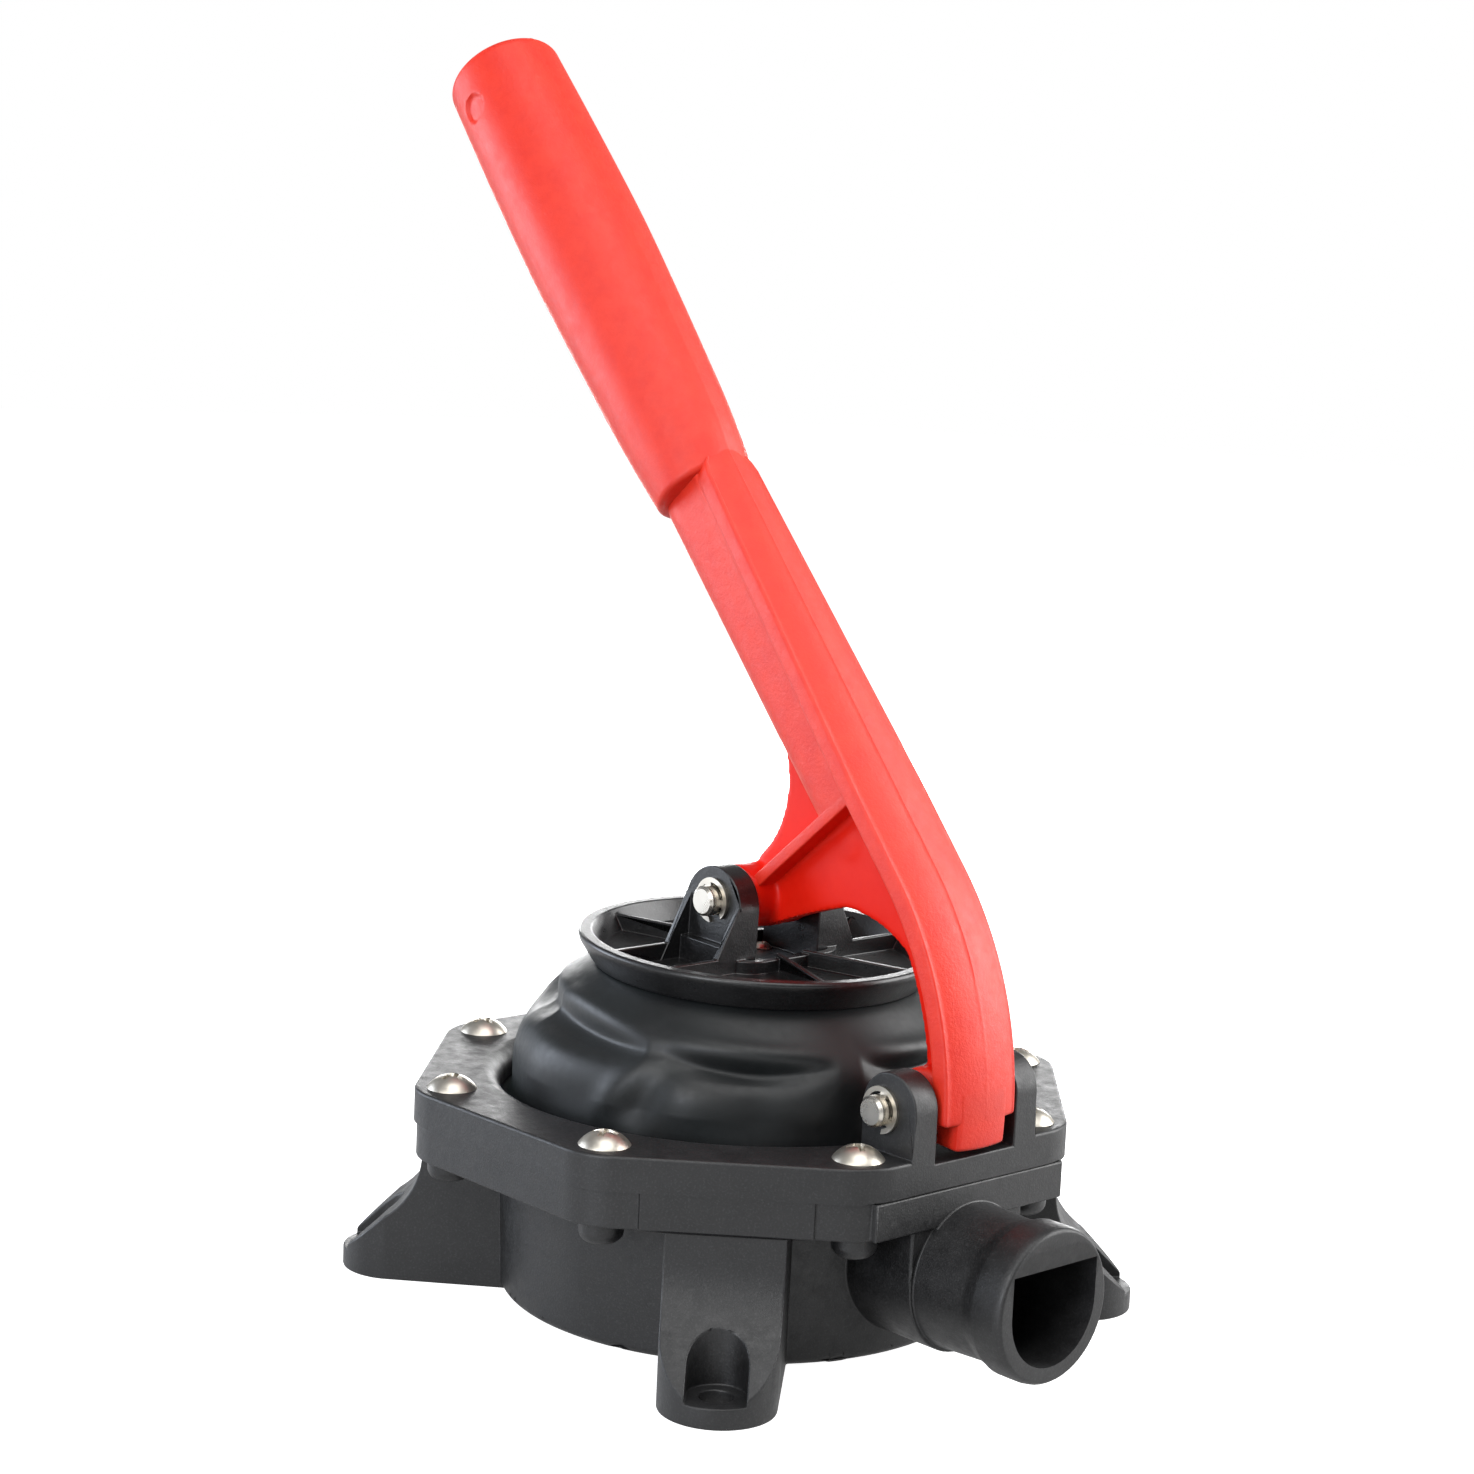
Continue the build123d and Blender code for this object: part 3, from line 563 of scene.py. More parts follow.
def lever_flange(bm):
    """The crowned outer flange, swept down the bar and round the bend, with a rounded lower end."""
    rows = []
    stations = bar_stations(FLANGE_END, GRIP_T[0] + 10)
    for place, out, half, t in stations:
        half -= max(0.0, t - GRIP_T[0]) * 0.7            # inside the grip only a narrow run-out is left
        seam = SEAM_AT_BEND + (SEAM - SEAM_AT_BEND) * share_of(t, 5, 30)
        rows.append([place - out * depth + Vector((0, y, 0)) for y, depth in flange_section(half, seam)])
    last_place, last_out, last_half, _ = stations[-1]
    down = Vector((last_out.z, 0, -last_out.x))
    for step, pull in ((0.45, 0.12), (0.8, 0.42), (1.0, 0.95)):
        section = flange_section(last_half - pull, 0.0)
        squeeze = (FLANGE_DEPTH - 2 * pull) / FLANGE_DEPTH
        rows.append([last_place + down * step - last_out * (pull + depth * squeeze) + Vector((0, y, 0))
                     for y, depth in section])
    add_grid(bm, rows)


def lever_tongue(bm):
    """The narrow foot below the flange, level with its crown and rounded at its lower edge."""
    rows = []
    steps = 24
    for k in range(steps + 8):
        angle = TONGUE_START + (TONGUE_END - TONGUE_START) * min(k, steps) / steps
        turn = pi / 2 * max(0, k - steps) / 7
        out, down = Vector((cos(angle), 0, sin(angle))), Vector((sin(angle), 0, -cos(angle)))
        place = BEND_CENTRE + out * (BEND_R - TONGUE_EDGE * (1 - cos(turn))) + down * TONGUE_EDGE * sin(turn)
        half = TONGUE_HALF - TONGUE_EDGE * (1 - cos(turn))
        section = []
        for i in range(-12, 13):
            share = i / 12
            edge = 0.45 * max(0.0, (abs(share) - 0.93) / 0.07) ** 2
            section.append((half * share, TONGUE_RISE * share ** 2 + edge))
        section += [(half, TONGUE_DEPTH), (-half, TONGUE_DEPTH)]
        rows.append([place - out * depth + Vector((0, y, 0)) for y, depth in section])
    add_grid(bm, rows)


def lever_rib(bm):
    """The cross rib, as a crisp shelf whose edges are barely broken."""
    low, high = RIB_T
    corners = [(low, -BODY_HALF), (low, BODY_HALF), (high, BODY_HALF), (high, -BODY_HALF)]
    section = rounded(corners, 0.4, 4)
    rows = []
    for a, shrink in ((RIB_A, 0.35), (RIB_A + 0.35, 0.0), (CROWN_A - 4.6, 0.0)):
        middle = (low + high) / 2
        rows.append([bar(a, middle + (t - middle) * (1 - shrink / 1.6), y * (1 - shrink / BODY_HALF))
                     for t, y in section])
    add_grid(bm, rows)


def lever_core(bm):
    """Everything behind the flange: rounded bar, web, rib, knuckle and pivot boss, as overlapping solids."""
    rows = []
    for place, out, half, _ in bar_stations(FLANGE_END + radians(0.3), GRIP_T[0] - 1):
        section = flange_section(half, 0.0, 0.45)
        rows.append([place - out * depth + Vector((0, y, 0)) for y, depth in section])
    add_grid(bm, rows)

    rows = []
    for centre, t in ((BODY_A_LOW, RIB_T[0] + 0.3), (BODY_A_HIGH, GRIP_T[0] + 6)):
        section = []                            # the rounded inner side, which flares into the flange
        for k in range(25):
            turn = pi + pi * (k / 24 - 0.5)
            section.append((centre + BODY_HALF * cos(turn), BODY_HALF * sin(turn)))
        side = CROWN_A - FLANGE_DEPTH
        section += [(side - 1.2, -BODY_HALF), (side + 0.2, -BODY_HALF - 0.5), (side + 2.9, -BODY_HALF + 1.4),
                    (side + 2.9, BODY_HALF - 1.4), (side + 0.2, BODY_HALF + 0.5), (side - 1.2, BODY_HALF)]
        rows.append([bar(a, t, y) for a, y in section])
    add_grid(bm, rows)

    pin_x, pin_z = PLATE_PIN.x, PLATE_PIN.z
    bend = [(BEND_CENTRE.x + r * cos(radians(d)), BEND_CENTRE.z + r * sin(radians(d)))
            for r, d in ((BEND_R - 5, LEAN_DEGREES), (BEND_R - 5, 20), (BEND_R - 5, -6), (WEB_INNER_R, -6),
                         (WEB_INNER_R, 12), (WEB_INNER_R, 30))]

    def xz(a, t):
        point = bar(a, t)
        return (point.x, point.z)

    arch_top, lower_knuckle = (38.0, 112.0), (pin_x + 4.0, pin_z - 8.2)
    hollow_foot, hollow_head = xz(81.9, 88.8), xz(BODY_A_LOW - BODY_HALF + 0.5, 113.5)
    outline = [bend[0]] + arc_points(bend[0], bend[1], bend[2], 30) + [bend[3]]
    outline += arc_points(bend[3], bend[4], bend[5], 30)
    outline += arc_points(bend[5], (49.5, 110.3), arch_top, 14)
    outline += arc_points(arch_top, (24.0, 107.7), lower_knuckle, 20)
    outline += [(pin_x - 2.0, pin_z + 5.0), hollow_foot]
    outline += arc_points(hollow_foot, xz(101.8, 98.0), hollow_head, 24)
    outline += [xz(CROWN_A - 5, 113.5)]
    add_prism(bm, outline, WEB_HALF)

    rib_low, rib_high = RIB_T[0] + 0.6, RIB_T[1] - 0.6
    rib = [xz(77.6, rib_low), xz(CROWN_A - 4, rib_low), xz(CROWN_A - 4, rib_high), xz(77.6, rib_high)]
    add_prism(bm, rib, BODY_HALF - 0.7)
    add_boss(bm, KNUCKLE_R, KNUCKLE_HALF, pin_x, pin_z, 0.8)
    add_boss(bm, PIVOT_R, PIVOT_HALF, PIVOT.x, PIVOT.z, 0.9)
    mark_x, mark_z = xz(112.3, 72.8)            # the round ejector mark stands a little proud of the web
    add_boss(bm, 3.0, WEB_HALF + 0.22, mark_x, mark_z, 0.15)


def grip_radius(t):
    """The grip's radius at t: a rolled lip, a long soft swell and a nearly flat end with a rounded rim."""
    low, high = GRIP_T
    u = t - low
    if u < GRIP_LIP_EDGE:
        return GRIP_LIP_R - GRIP_LIP_EDGE + sqrt(max(0.0, GRIP_LIP_EDGE ** 2 - (GRIP_LIP_EDGE - u) ** 2))
    if t > high - GRIP_RIM:
        rise = (t - (high - GRIP_RIM)) / GRIP_RIM
        return GRIP_END_R - GRIP_RIM * (1 - sqrt(max(0.0, 1 - rise * rise)))
    knots = [(GRIP_LIP_EDGE, GRIP_LIP_R), (10, 14.95), (24, 15.95), (40, 16.6), (60, 17.3), (82, 17.85),
             (100, 17.75), (124, 17.25), (high - GRIP_RIM - low, GRIP_END_R)]
    for i, ((u0, r0), (u1, r1)) in enumerate(zip(knots, knots[1:])):
        if u <= u1:
            before = knots[i - 1] if i else (u0 - (u1 - u0), r0 - (r1 - r0))
            after = knots[i + 2] if i + 2 < len(knots) else (u1 + (u1 - u0), r1 + (r1 - r0))
            m0 = (r1 - before[1]) / (u1 - before[0]) * (u1 - u0)
            m1 = (after[1] - r0) / (after[0] - u0) * (u1 - u0)
            s = (u - u0) / (u1 - u0)
            return ((2 * s ** 3 - 3 * s * s + 1) * r0 + (s ** 3 - 2 * s * s + s) * m0
                    + (3 * s * s - 2 * s ** 3) * r1 + (s ** 3 - s * s) * m1)
    return GRIP_END_R


def lever_grip(bm):
    """The turned-looking grip, as rings round its own axis. Angle 0 faces out, along the bar's a."""
    low, high = GRIP_T
    around = 180
    levels = [low + GRIP_LIP_EDGE * (1 - cos(pi / 2 * k / 6)) for k in range(7)]
    while levels[-1] < high - GRIP_RIM - 1.5:
        levels.append(levels[-1] + (0.5 if abs(levels[-1] - DIMPLE_T) < 6 else 1.4))
    levels.append(high - GRIP_RIM)
    levels += [high - GRIP_RIM + GRIP_RIM * sin(pi / 2 * k / 12) for k in range(1, 13)]
    rows = []
    for t in levels:
        base = grip_radius(t)
        row = []
        for i in range(around):
            angle = 2 * pi * i / around
            y, out = sin(angle), cos(angle)
            r = base
            if out > 0:
                r += GRIP_SEAM * exp(-(base * y / GRIP_SEAM_HALF) ** 2)
            run_out = max(0.0, 1 - (t - low) / RUN_OUT_T)
            r -= RUN_OUT_DEPTH * run_out ** 1.5 * max(0.0, out) ** 4
            reach = hypot(turn_between(degrees(angle), DIMPLE_ANGLE) * pi / 180 * base, t - DIMPLE_T)
            if reach < DIMPLE_R + 0.5:
                r -= DIMPLE_DEPTH * min(1.0, (DIMPLE_R + 0.5 - reach) / 0.6)
            row.append(bar(GRIP_A + r * out, t, r * y))
        rows.append(row)
    end_row = rows[-1]
    for share, rise in ((0.8, 0.35), (0.55, 0.6), (0.28, 0.75)):
        rows.append([bar(GRIP_A, high + rise) + (point - bar(GRIP_A, high)) * share for point in end_row])
    rings = add_grid(bm, rows, capped=False)
    for ring, t in ((rings[0], low), (rings[-1], high + GRIP_DOME)):
        centre = bm.verts.new(bar(GRIP_A, t))
        for i in range(around):
            bm.faces.new((ring[i], ring[(i + 1) % around], centre))


def is_smooth_moulded(point):
    """Whether a point of the lever is on the web, the rib's underside or a boss, which have no grain."""
    a, t = point.dot(ACROSS), point.dot(ALONG)
    from_bend = (point - BEND_CENTRE) * Vector((1, 0, 1))
    on_web = abs(point.y) < 7.5 and t < 116 and from_bend.length < BEND_R - 8.5
    beside_bar = t > RIB_T[1] + 0.2 and a > BODY_A_LOW - 7.0
    at_knuckle = hypot(point.x - PLATE_PIN.x, point.z - PLATE_PIN.z) < KNUCKLE_R + 1
    return (on_web and not beside_bar) or at_knuckle


def make_lever():
    """The lever: a fused core inside crisp shells of its flange, tongue, rib and grip."""
    core = bmesh.new()
    lever_core(core)
    skin = remeshed("lever", core, CORE_VOXEL, CORE_ROUNDS)
    details = bmesh.new()
    details.from_mesh(skin.data)
    bmesh.ops.scale(details, vec=(1 / MM, 1 / MM, 1 / MM), verts=details.verts)
    for shell in (lever_flange, lever_tongue, lever_rib, lever_grip):
        part = bmesh.new()
        shell(part)
        tidy_normals(part)
        mesh = bpy.data.meshes.new("part")
        part.to_mesh(mesh)
        part.free()
        details.from_mesh(mesh)
        bpy.data.meshes.remove(mesh)
    bpy.data.objects.remove(skin)
    piece = new_piece("lever_moulding", details, CRISP_DEGREES)
    finish_piece(piece, "lever", "lever", SCARLET, "lever")
    piece.data.materials.append(SCARLET_SMOOTH)
    for face in piece.data.polygons:
        face.material_index = int(is_smooth_moulded(face.center / MM))


# ------------------------------------------------------------------ diaphragm

# Folds round the shoulder: middle angle, half-width, height, how far the ends curl up, slope, depth
FOLDS = [(-97, 25, 79.9, -0.9, -0.040, 5.0), (-46, 20, 77.0, 0.6, -0.030, 5.6),
         (4, 15, 76.4, 0.6, -0.045, 5.0), (46, 19, 76.8, 0.8, 0.010, 4.4),
         (92, 21, 78.0, 0.8, 0.030, 5.0), (138, 18, 79.0, 0.6, 0.010, 4.4),
         (184, 21, 79.9, 0.8, -0.020, 5.0), (227, 14, 80.2, 0.6, 0.000, 4.2)]
FOLD_END = 1.25                              # in half-widths, where a fold has died away
FOLD_ABOVE, FOLD_BELOW = 1.7, 5.6            # a fold's reach above its line and below it
BROW_AT, BROW_REACH = 3.8, 2.2               # the brow that stands out over a fold
ROLL_AT, ROLL_REACH = -11.0, 4.6             # the slack roll under it
# Upright flutes of the skirt: angle at the foot, lean to the shoulder, half-width, how far they stand out
FLUTES = [(-104, 3, 11, 0.9), (-80, 9, 4.5, 1.1), (-70, 6, 4.5, -1.2), (-56, 0, 7, 0.8), (-38, -2, 6, -0.7),
          (-24, -3, 6, 0.6), (-9, 2, 5, -0.9), (12, 3, 8, 0.8), (30, -4, 5, -0.8), (52, 2, 9, 0.8),
          (72, 5, 5, -1.0), (98, 0, 10, 0.8), (118, -4, 5, -0.9), (142, 2, 8, 0.7), (161, 3, 5, -0.9),
          (188, 0, 10, 0.9), (209, -5, 5, -0.8), (233, 2, 8, 0.7)]


def skirt_profile():
    """(radius, height) from the clamped bead, over the lip and up the skirt to the plate's underside."""
    bead = RING_LOW.z + RUBBER_T / 2
    return [(70.0, bead), (66.6, bead), (64.8, 51.9), (63.6, 53.2), (63.0, 55.4), (62.7, 59), (62.4, 63),
            (62.0, 67), (61.4, 70.5), (60.5, 73.6), (58.9, 76.6), (56.4, 79.6), (53.3, 82.6), (49.9, 85.6),
            (46.6, 88.2), (44.0, SKIRT_TOP)]


def smooth_path(knots, per_span):
    """Points of a smooth curve through (r, z) knots."""
    points = []
    for i in range(len(knots) - 1):
        p0 = Vector(knots[max(i - 1, 0)])
        p1, p2 = Vector(knots[i]), Vector(knots[i + 1])
        p3 = Vector(knots[min(i + 2, len(knots) - 1)])
        for k in range(per_span):
            s = k / per_span
            points.append(0.5 * ((2 * p1) + (p2 - p0) * s + (2 * p0 - 5 * p1 + 4 * p2 - p3) * s * s
                                 + (3 * p1 - p0 - 3 * p2 + p3) * s ** 3))
    points.append(Vector(knots[-1]))
    return points


def fold_shape(angle, height):
    """How far the rubber is pushed in at (angle in degrees, height): each fold is steep above, under
    its brow, and slopes out gently below."""
    push = 0.0
    for middle, half, level, curl, slope, depth in FOLDS:
        away = turn_between(angle, middle)
        share = away / half
        if abs(share) >= FOLD_END:
            continue
        above = height - (level + curl * share * share + slope * away)
        fade = (1 - (share / FOLD_END) ** 2) ** 1.1
        groove = exp(-(above / (FOLD_ABOVE if above > 0 else FOLD_BELOW)) ** 2)
        brow = exp(-((above - BROW_AT) / BROW_REACH) ** 2)
        roll = exp(-((above - ROLL_AT) / ROLL_REACH) ** 2)
        push += fade * (0.86 * depth * groove - 0.9 * brow - 0.2 * roll)
    climb = share_of(height, 54.0, 78.0)
    for foot, lean, half, proud in FLUTES:
        away = turn_between(angle, foot + lean * climb) / half
        if abs(away) < 3:
            push -= proud * exp(-away * away) * sin(pi * min(1.0, climb * 1.05)) ** 0.7
    return push


def make_diaphragm():
    """The rubber diaphragm: a skirt that folds over its shoulder under the plate's weight."""
    path = smooth_path(skirt_profile(), 7)
    around = 440
    rows = []
    for i, point in enumerate(path):
        before, after = path[max(i - 1, 0)], path[min(i + 1, len(path) - 1)]
        tangent = (after - before).normalized()
        normal = Vector((tangent.y, -tangent.x))
        share = share_of(point.y, 60, SKIRT_TOP)
        blend = share * share * (3 - 2 * share)
        calm = share_of(point.y, 89.0, 84.0) * share_of(point.y, 55.0, 63.0)
        row = []
        for k in range(around):
            angle = 360 * k / around
            turn = radians(angle)
            waviness = 0.35 * sin(radians(3 * angle + 40)) + 0.25 * sin(radians(7 * angle - 30))
            push = (fold_shape(angle, point.y) + 0.5 * waviness) * calm
            r, z = point.x - normal.x * push, point.y - normal.y * push
            x = r * cos(turn) + PLATE_CENTRE.x * blend
            y = r * sin(turn)
            z -= tan(PLATE_TILT) * (x - PLATE_CENTRE.x) * blend
            row.append(Vector((x, y, z)))
        rows.append(row)
    bm = bmesh.new()
    rings = add_grid(bm, rows, capped=False)

    inner_rows = []
    for row, point in zip(rows, path):
        inner = []
        for p in row:
            flat = Vector((p.x, p.y, 0))
            pull = RUBBER_T * (0.9 if point.y > 55 else 0.2)
            inner.append(p - flat.normalized() * pull - Vector((0, 0, RUBBER_T * 0.7)))
        inner_rows.append(inner)
    inner_rings = add_grid(bm, inner_rows, capped=False)
    for i in range(around):
        j = (i + 1) % around
        bm.faces.new((rings[0][i], rings[0][j], inner_rings[0][j], inner_rings[0][i]))
    for ring in (rings[-1], inner_rings[-1]):
        middle = sum((v.co for v in ring), Vector()) / around
        centre = bm.verts.new(middle)
        for i in range(around):
            bm.faces.new((ring[i], ring[(i + 1) % around], centre))
    bmesh.ops.recalc_face_normals(bm, faces=bm.faces)
    piece = new_piece("diaphragm_moulding", bm)
    finish_piece(piece, "housing", "rubber", RUBBER, "diaphragm")
    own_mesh(piece)


# ------------------------------------------------------------------ screws, by Geometry Nodes

def screw_tree(name, material):
    """Screws on a circle or a grid: a domed head with a cross recess on a plain shank."""
    tree = bpy.data.node_groups.new(name, "GeometryNodeTree")
    tree.interface.new_socket("Geometry", in_out="INPUT", socket_type="NodeSocketGeometry")
    tree.interface.new_socket("Geometry", in_out="OUTPUT", socket_type="NodeSocketGeometry")
    for label, value in (("Head Radius", 6.6), ("Dome Radius", 8.0), ("Head Height", 3.6),
                         ("Shank Radius", 3.0), ("Shank Length", 20.0), ("Recess Reach", 3.0),
                         ("Recess Width", 1.2), ("Recess Depth", 1.8)):
        socket = tree.interface.new_socket(label, in_out="INPUT", socket_type="NodeSocketFloat")
        socket.default_value = value
    tree.interface.new_socket("Turn Seed", in_out="INPUT", socket_type="NodeSocketInt")
    given = add(tree, "NodeGroupInput").outputs
    result = add(tree, "NodeGroupOutput")

    def maths(operation, *values):
        return add(tree, "ShaderNodeMath", dict(enumerate(values)), operation=operation).outputs[0]

    def at_height(height):
        return add(tree, "ShaderNodeCombineXYZ", {"Z": height}).outputs[0]

    def moved(shape, height, turn=0.0):
        return add(tree, "GeometryNodeTransform", {"Geometry": shape, "Translation": at_height(height),
                                                   "Rotation": (0.0, 0.0, turn)}).outputs[0]

    ball = add(tree, "GeometryNodeMeshUVSphere", {
        "Segments": 96, "Rings": 64, "Radius": given["Dome Radius"]}).outputs[0]
    ball = moved(ball, maths("SUBTRACT", given["Head Height"], given["Dome Radius"]))
    barrel = add(tree, "GeometryNodeMeshCylinder", {
        "Vertices": 96, "Radius": given["Head Radius"],
        "Depth": maths("MULTIPLY", given["Head Height"], 2.0)}).outputs["Mesh"]
    barrel = moved(barrel, given["Head Height"])
    head = add(tree, "GeometryNodeMeshBoolean", {"Mesh 2": ball}, operation="INTERSECT", solver="EXACT")
    tree.links.new(barrel, head.inputs["Mesh 2"])

    recess = add(tree, "GeometryNodeMeshBoolean", {"Mesh 1": head.outputs[0]}, operation="DIFFERENCE",
                 solver="EXACT")
    wing_size = add(tree, "ShaderNodeCombineXYZ", {
        "X": maths("MULTIPLY", given["Recess Reach"], 2.0), "Y": given["Recess Width"],
        "Z": maths("MULTIPLY", given["Recess Depth"], 2.0)}).outputs[0]
    wing = add(tree, "GeometryNodeMeshCube", {"Size": wing_size}).outputs[0]
    for turn in (0.0, pi / 2):
        tree.links.new(moved(wing, given["Head Height"], turn), recess.inputs["Mesh 2"])
    point = add(tree, "GeometryNodeMeshCone", {
        "Vertices": 32, "Radius Top": maths("MULTIPLY", given["Recess Reach"], 0.62), "Radius Bottom": 0.3,
        "Depth": maths("MULTIPLY", given["Recess Depth"], 1.5)}).outputs["Mesh"]
    sunk = maths("MULTIPLY", given["Recess Depth"], 1.35)
    point = moved(point, maths("SUBTRACT", given["Head Height"], sunk))
    tree.links.new(point, recess.inputs["Mesh 2"])

    shank = add(tree, "GeometryNodeMeshCylinder", {
        "Vertices": 48, "Radius": given["Shank Radius"], "Depth": given["Shank Length"]}).outputs["Mesh"]
    shank = moved(shank, maths("MULTIPLY", given["Shank Length"], -0.498))
    screw = add(tree, "GeometryNodeJoinGeometry", {"Geometry": recess.outputs[0]})
    tree.links.new(shank, screw.inputs["Geometry"])

    turn = add(tree, "FunctionNodeRandomValue", {"Seed": given["Turn Seed"]}, data_type="FLOAT")
    turn.inputs[3].default_value = pi / 2
    spin = add(tree, "ShaderNodeCombineXYZ", {"Z": turn.outputs[1]}).outputs[0]
    spun = add(tree, "GeometryNodeInstanceOnPoints", {
        "Points": given["Geometry"], "Instance": screw.outputs[0],
        "Rotation": add(tree, "FunctionNodeEulerToRotation", {0: spin}).outputs[0]})
    real = add(tree, "GeometryNodeRealizeInstances", {0: spun.outputs[0]})
    painted = add(tree, "GeometryNodeSetMaterial", {"Geometry": real.outputs[0], "Material": material})
    tree.links.new(painted.outputs[0], result.inputs[0])
    return tree


def screws(name, points, sizes, node, body, slot, tilt=None):
    """Screws standing on points in millimetres, made by the screw tree and turned into one plain mesh."""
    mesh = bpy.data.meshes.new(name)
    mesh.from_pydata([tuple(point) for point in points], [], [])
    piece = bpy.data.objects.new(name, mesh)
    bpy.context.scene.collection.objects.link(piece)
    modifier = piece.modifiers.new("screws", "NODES")
    modifier.node_group = screw_tree(name, SCREW_STEEL)
    sockets = {s.name: s.identifier for s in modifier.node_group.interface.items_tree if s.in_out == "INPUT"}
    for label, value in sizes.items():
        modifier[sockets[label]] = value
    settle(piece)
    if tilt is not None:
        piece.data.transform(tilt)
    bm = bmesh.new()
    bm.from_mesh(piece.data)
    bmesh.ops.remove_doubles(bm, verts=bm.verts, dist=0.01)
    bmesh.ops.dissolve_limit(bm, angle_limit=radians(0.5), verts=bm.verts, edges=bm.edges)
    bpy.data.objects.remove(piece)
    piece = new_piece(name, bm)
    bevel = piece.modifiers.new("tumbled edges", "BEVEL")
    bevel.width = 0.14 * MM
    bevel.segments = 2
    bevel.limit_method = "ANGLE"
    bevel.angle_limit = radians(30)
    settle(piece)
    shade(piece.data, 38)
    finish_piece(piece, body, slot, SCREW_STEEL, node)


def make_clamp_screws():
    """Eight screws on a circle through the clamp ring."""
    dome = (SCREW_HEAD_R ** 2 + SCREW_HEAD_H ** 2) / (2 * SCREW_HEAD_H)
    points = [(SCREW_CIRCLE_R * cos(radians(22.5 + 45 * i)), SCREW_CIRCLE_R * sin(radians(22.5 + 45 * i)),
               RING_TOP) for i in range(8)]
    screws("clamp_screw_set", points, {
        "Head Radius": SCREW_HEAD_R, "Dome Radius": dome + 0.06, "Head Height": SCREW_HEAD_H,
        "Shank Radius": SCREW_SHANK_R, "Shank Length": SCREW_LENGTH, "Recess Reach": 3.3,
        "Recess Width": 1.45, "Recess Depth": 2.0, "Turn Seed": 7}, "clamp_screws", "housing", "steel")


def make_plate_screws():
    """Four small screws in the plate's dish, tilted with it."""
    grid_x, grid_y = PLATE_SCREW_GRID
    points = [(grid_x / 2 * i, grid_y / 2 * j, DISH_FLOOR) for i in (-1, 1) for j in (-1, 1)]
    tilt = Matrix.Translation(PLATE_CENTRE) @ Matrix.Rotation(PLATE_TILT, 4, "Y")
    screws("plate_screw_set", points, {
        "Head Radius": 2.7, "Dome Radius": 3.2, "Head Height": 1.7, "Shank Radius": 1.7,
        "Shank Length": 14.0, "Recess Reach": 1.5, "Recess Width": 0.6, "Recess Depth": 0.9,
        "Turn Seed": 3}, "plate_screws", "plate", "steel", tilt)


# ------------------------------------------------------------------ studio

def softbox(name, place, aim, size, power, colour="#ffffff"):
    """A soft area light at place, turned to aim, in millimetres."""
    data = bpy.data.lights.new(name, "AREA")
    data.shape = "RECTANGLE"
    data.size, data.size_y = (side * MM for side in size)
    data.energy = power
    data.color = srgb(colour)[:3]
    light = bpy.data.objects.new(name, data)
    light.location = Vector(place) * MM
    light.rotation_euler = (Vector(aim) - Vector(place)).to_track_quat("-Z", "Y").to_euler()
    bpy.context.scene.collection.objects.link(light)


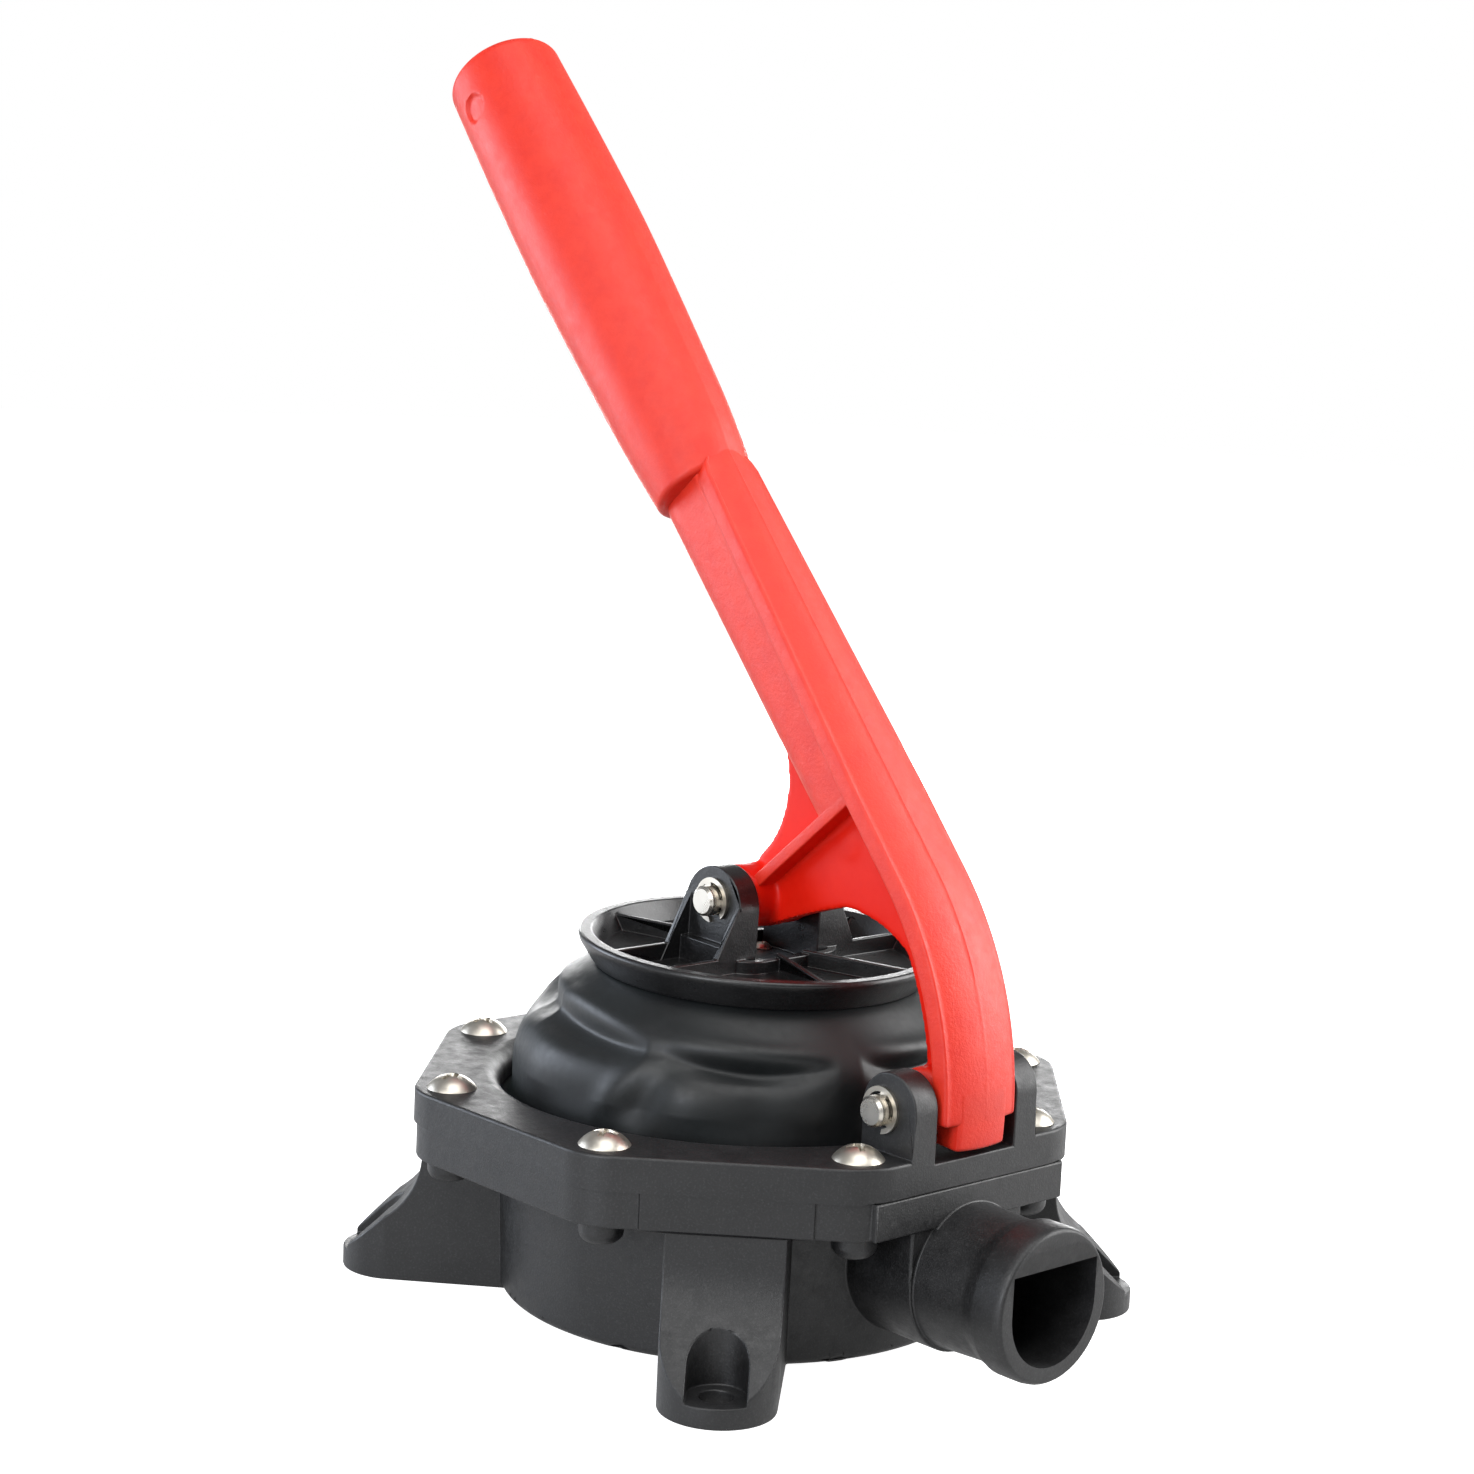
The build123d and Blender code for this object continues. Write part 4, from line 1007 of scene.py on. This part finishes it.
def make_studio():
    """Pale floor and white surroundings, which the object itself sees darker, and large softboxes."""
    world = bpy.data.worlds.new("white_room")
    bpy.context.scene.world = world
    world.use_nodes = True
    tree = world.node_tree
    tree.nodes.clear()
    ray = add(tree, "ShaderNodeLightPath").outputs["Is Camera Ray"]
    seen = add(tree, "ShaderNodeBackground", {"Color": srgb("#ffffff"), "Strength": 1.0}).outputs[0]
    felt = add(tree, "ShaderNodeBackground", {"Color": srgb("#f4f6f8"), "Strength": 0.29}).outputs[0]
    both = add(tree, "ShaderNodeMixShader", {0: ray, 1: felt, 2: seen}).outputs[0]
    add(tree, "ShaderNodeOutputWorld", {"Surface": both})

    bm = bmesh.new()
    half, level = 6000, -0.05                   # a hair below the feet
    bm.faces.new([bm.verts.new((x, y, level))
                  for x, y in ((-half, -half), (half, -half), (half, half), (-half, half))])
    floor = new_piece("studio_floor", bm)
    material, tree, output, place = new_material("studio_floor_white")
    ray = add(tree, "ShaderNodeLightPath").outputs["Is Camera Ray"]
    white = add(tree, "ShaderNodeBsdfPrincipled", {
        "Base Color": srgb("#d8d8d8"), "Roughness": 0.9, "Emission Color": srgb("#ffffff"),
        "Emission Strength": 0.95}).outputs[0]
    grey = add(tree, "ShaderNodeBsdfDiffuse", {"Color": srgb("#8a8a8a")}).outputs[0]
    glossy = add(tree, "ShaderNodeLightPath").outputs["Is Glossy Ray"]
    glimpse = scaled(tree, glossy, 0.45)
    shown = add(tree, "ShaderNodeMath", {0: ray, 1: glimpse}, operation="MAXIMUM").outputs[0]
    face = add(tree, "ShaderNodeMixShader", {0: shown, 1: grey, 2: white}).outputs[0]
    tree.links.new(face, output.inputs["Surface"])
    floor.data.materials.append(material)

    softbox("key_front", (330, -900, 640), (0, 0, 120), (700, 700), 6.5)
    softbox("back_right", (620, 900, 520), (20, 0, 120), (1000, 1000), 21)
    softbox("side_left", (-1000, -620, 160), (0, 0, 90), (800, 900), 15, "#e8f1ff")
    softbox("front_strip", (200, -1000, 90), (0, 0, 60), (220, 600), 4, "#eef4ff")
    softbox("back_left", (-760, 760, 170), (0, 0, 90), (900, 300), 9)
    softbox("overhead", (360, -160, 1250), (0, 0, 60), (900, 900), 8)


def make_camera():
    """Eye level a little below the grip's middle, from the corner between +X and -Y."""
    aim = Vector((0, -8.5, 151.9)) * MM
    place = Vector((546.3, -514.2, 255.9)) * MM
    data = bpy.data.cameras.new("camera")
    data.sensor_width = 36.0
    data.lens = 69.22
    camera = bpy.data.objects.new("camera", data)
    roll = Matrix.Rotation(radians(2.669), 4, "Z")
    turned = (aim - place).to_track_quat("-Z", "Y").to_matrix().to_4x4() @ roll
    camera.matrix_world = Matrix.Translation(place) @ turned
    bpy.context.scene.collection.objects.link(camera)
    bpy.context.scene.camera = camera


make_camera()
make_studio()
make_lever()
make_diaphragm()
make_clamp_screws()
make_plate_screws()
bowl = edge_broken("bowl_moulding", "pump_body", BOWL_EDGE)
finish_piece(bowl, "housing", "body", NYLON, "pump_body")
ring = edge_broken("ring_moulding", "clamp_ring", RING_EDGE)
finish_piece(ring, "housing", "body", NYLON, "clamp_ring")
plate = edge_broken("plate_moulding", "diaphragm_plate", PLATE_EDGE)
finish_piece(plate, "plate", "plate", PLATE_NYLON, "diaphragm_plate")
repaint(NYLON, "inner_plate")
repaint(PIN_STEEL, "fulcrum_pin", "plate_pin", "inlet_flap_pin", "outlet_flap_pin")
repaint(CLIP_STEEL, "fulcrum_clip_near", "fulcrum_clip_far", "plate_clip_near", "plate_clip_far")
repaint(BRASS, "threaded_inserts")
repaint(VALVE_NYLON, "inlet_valve_seat", "outlet_valve_seat")
repaint(FLAP_RUBBER, "inlet_valve_flap", "outlet_valve_flap")

bpy.context.scene.view_settings.view_transform = "Standard"
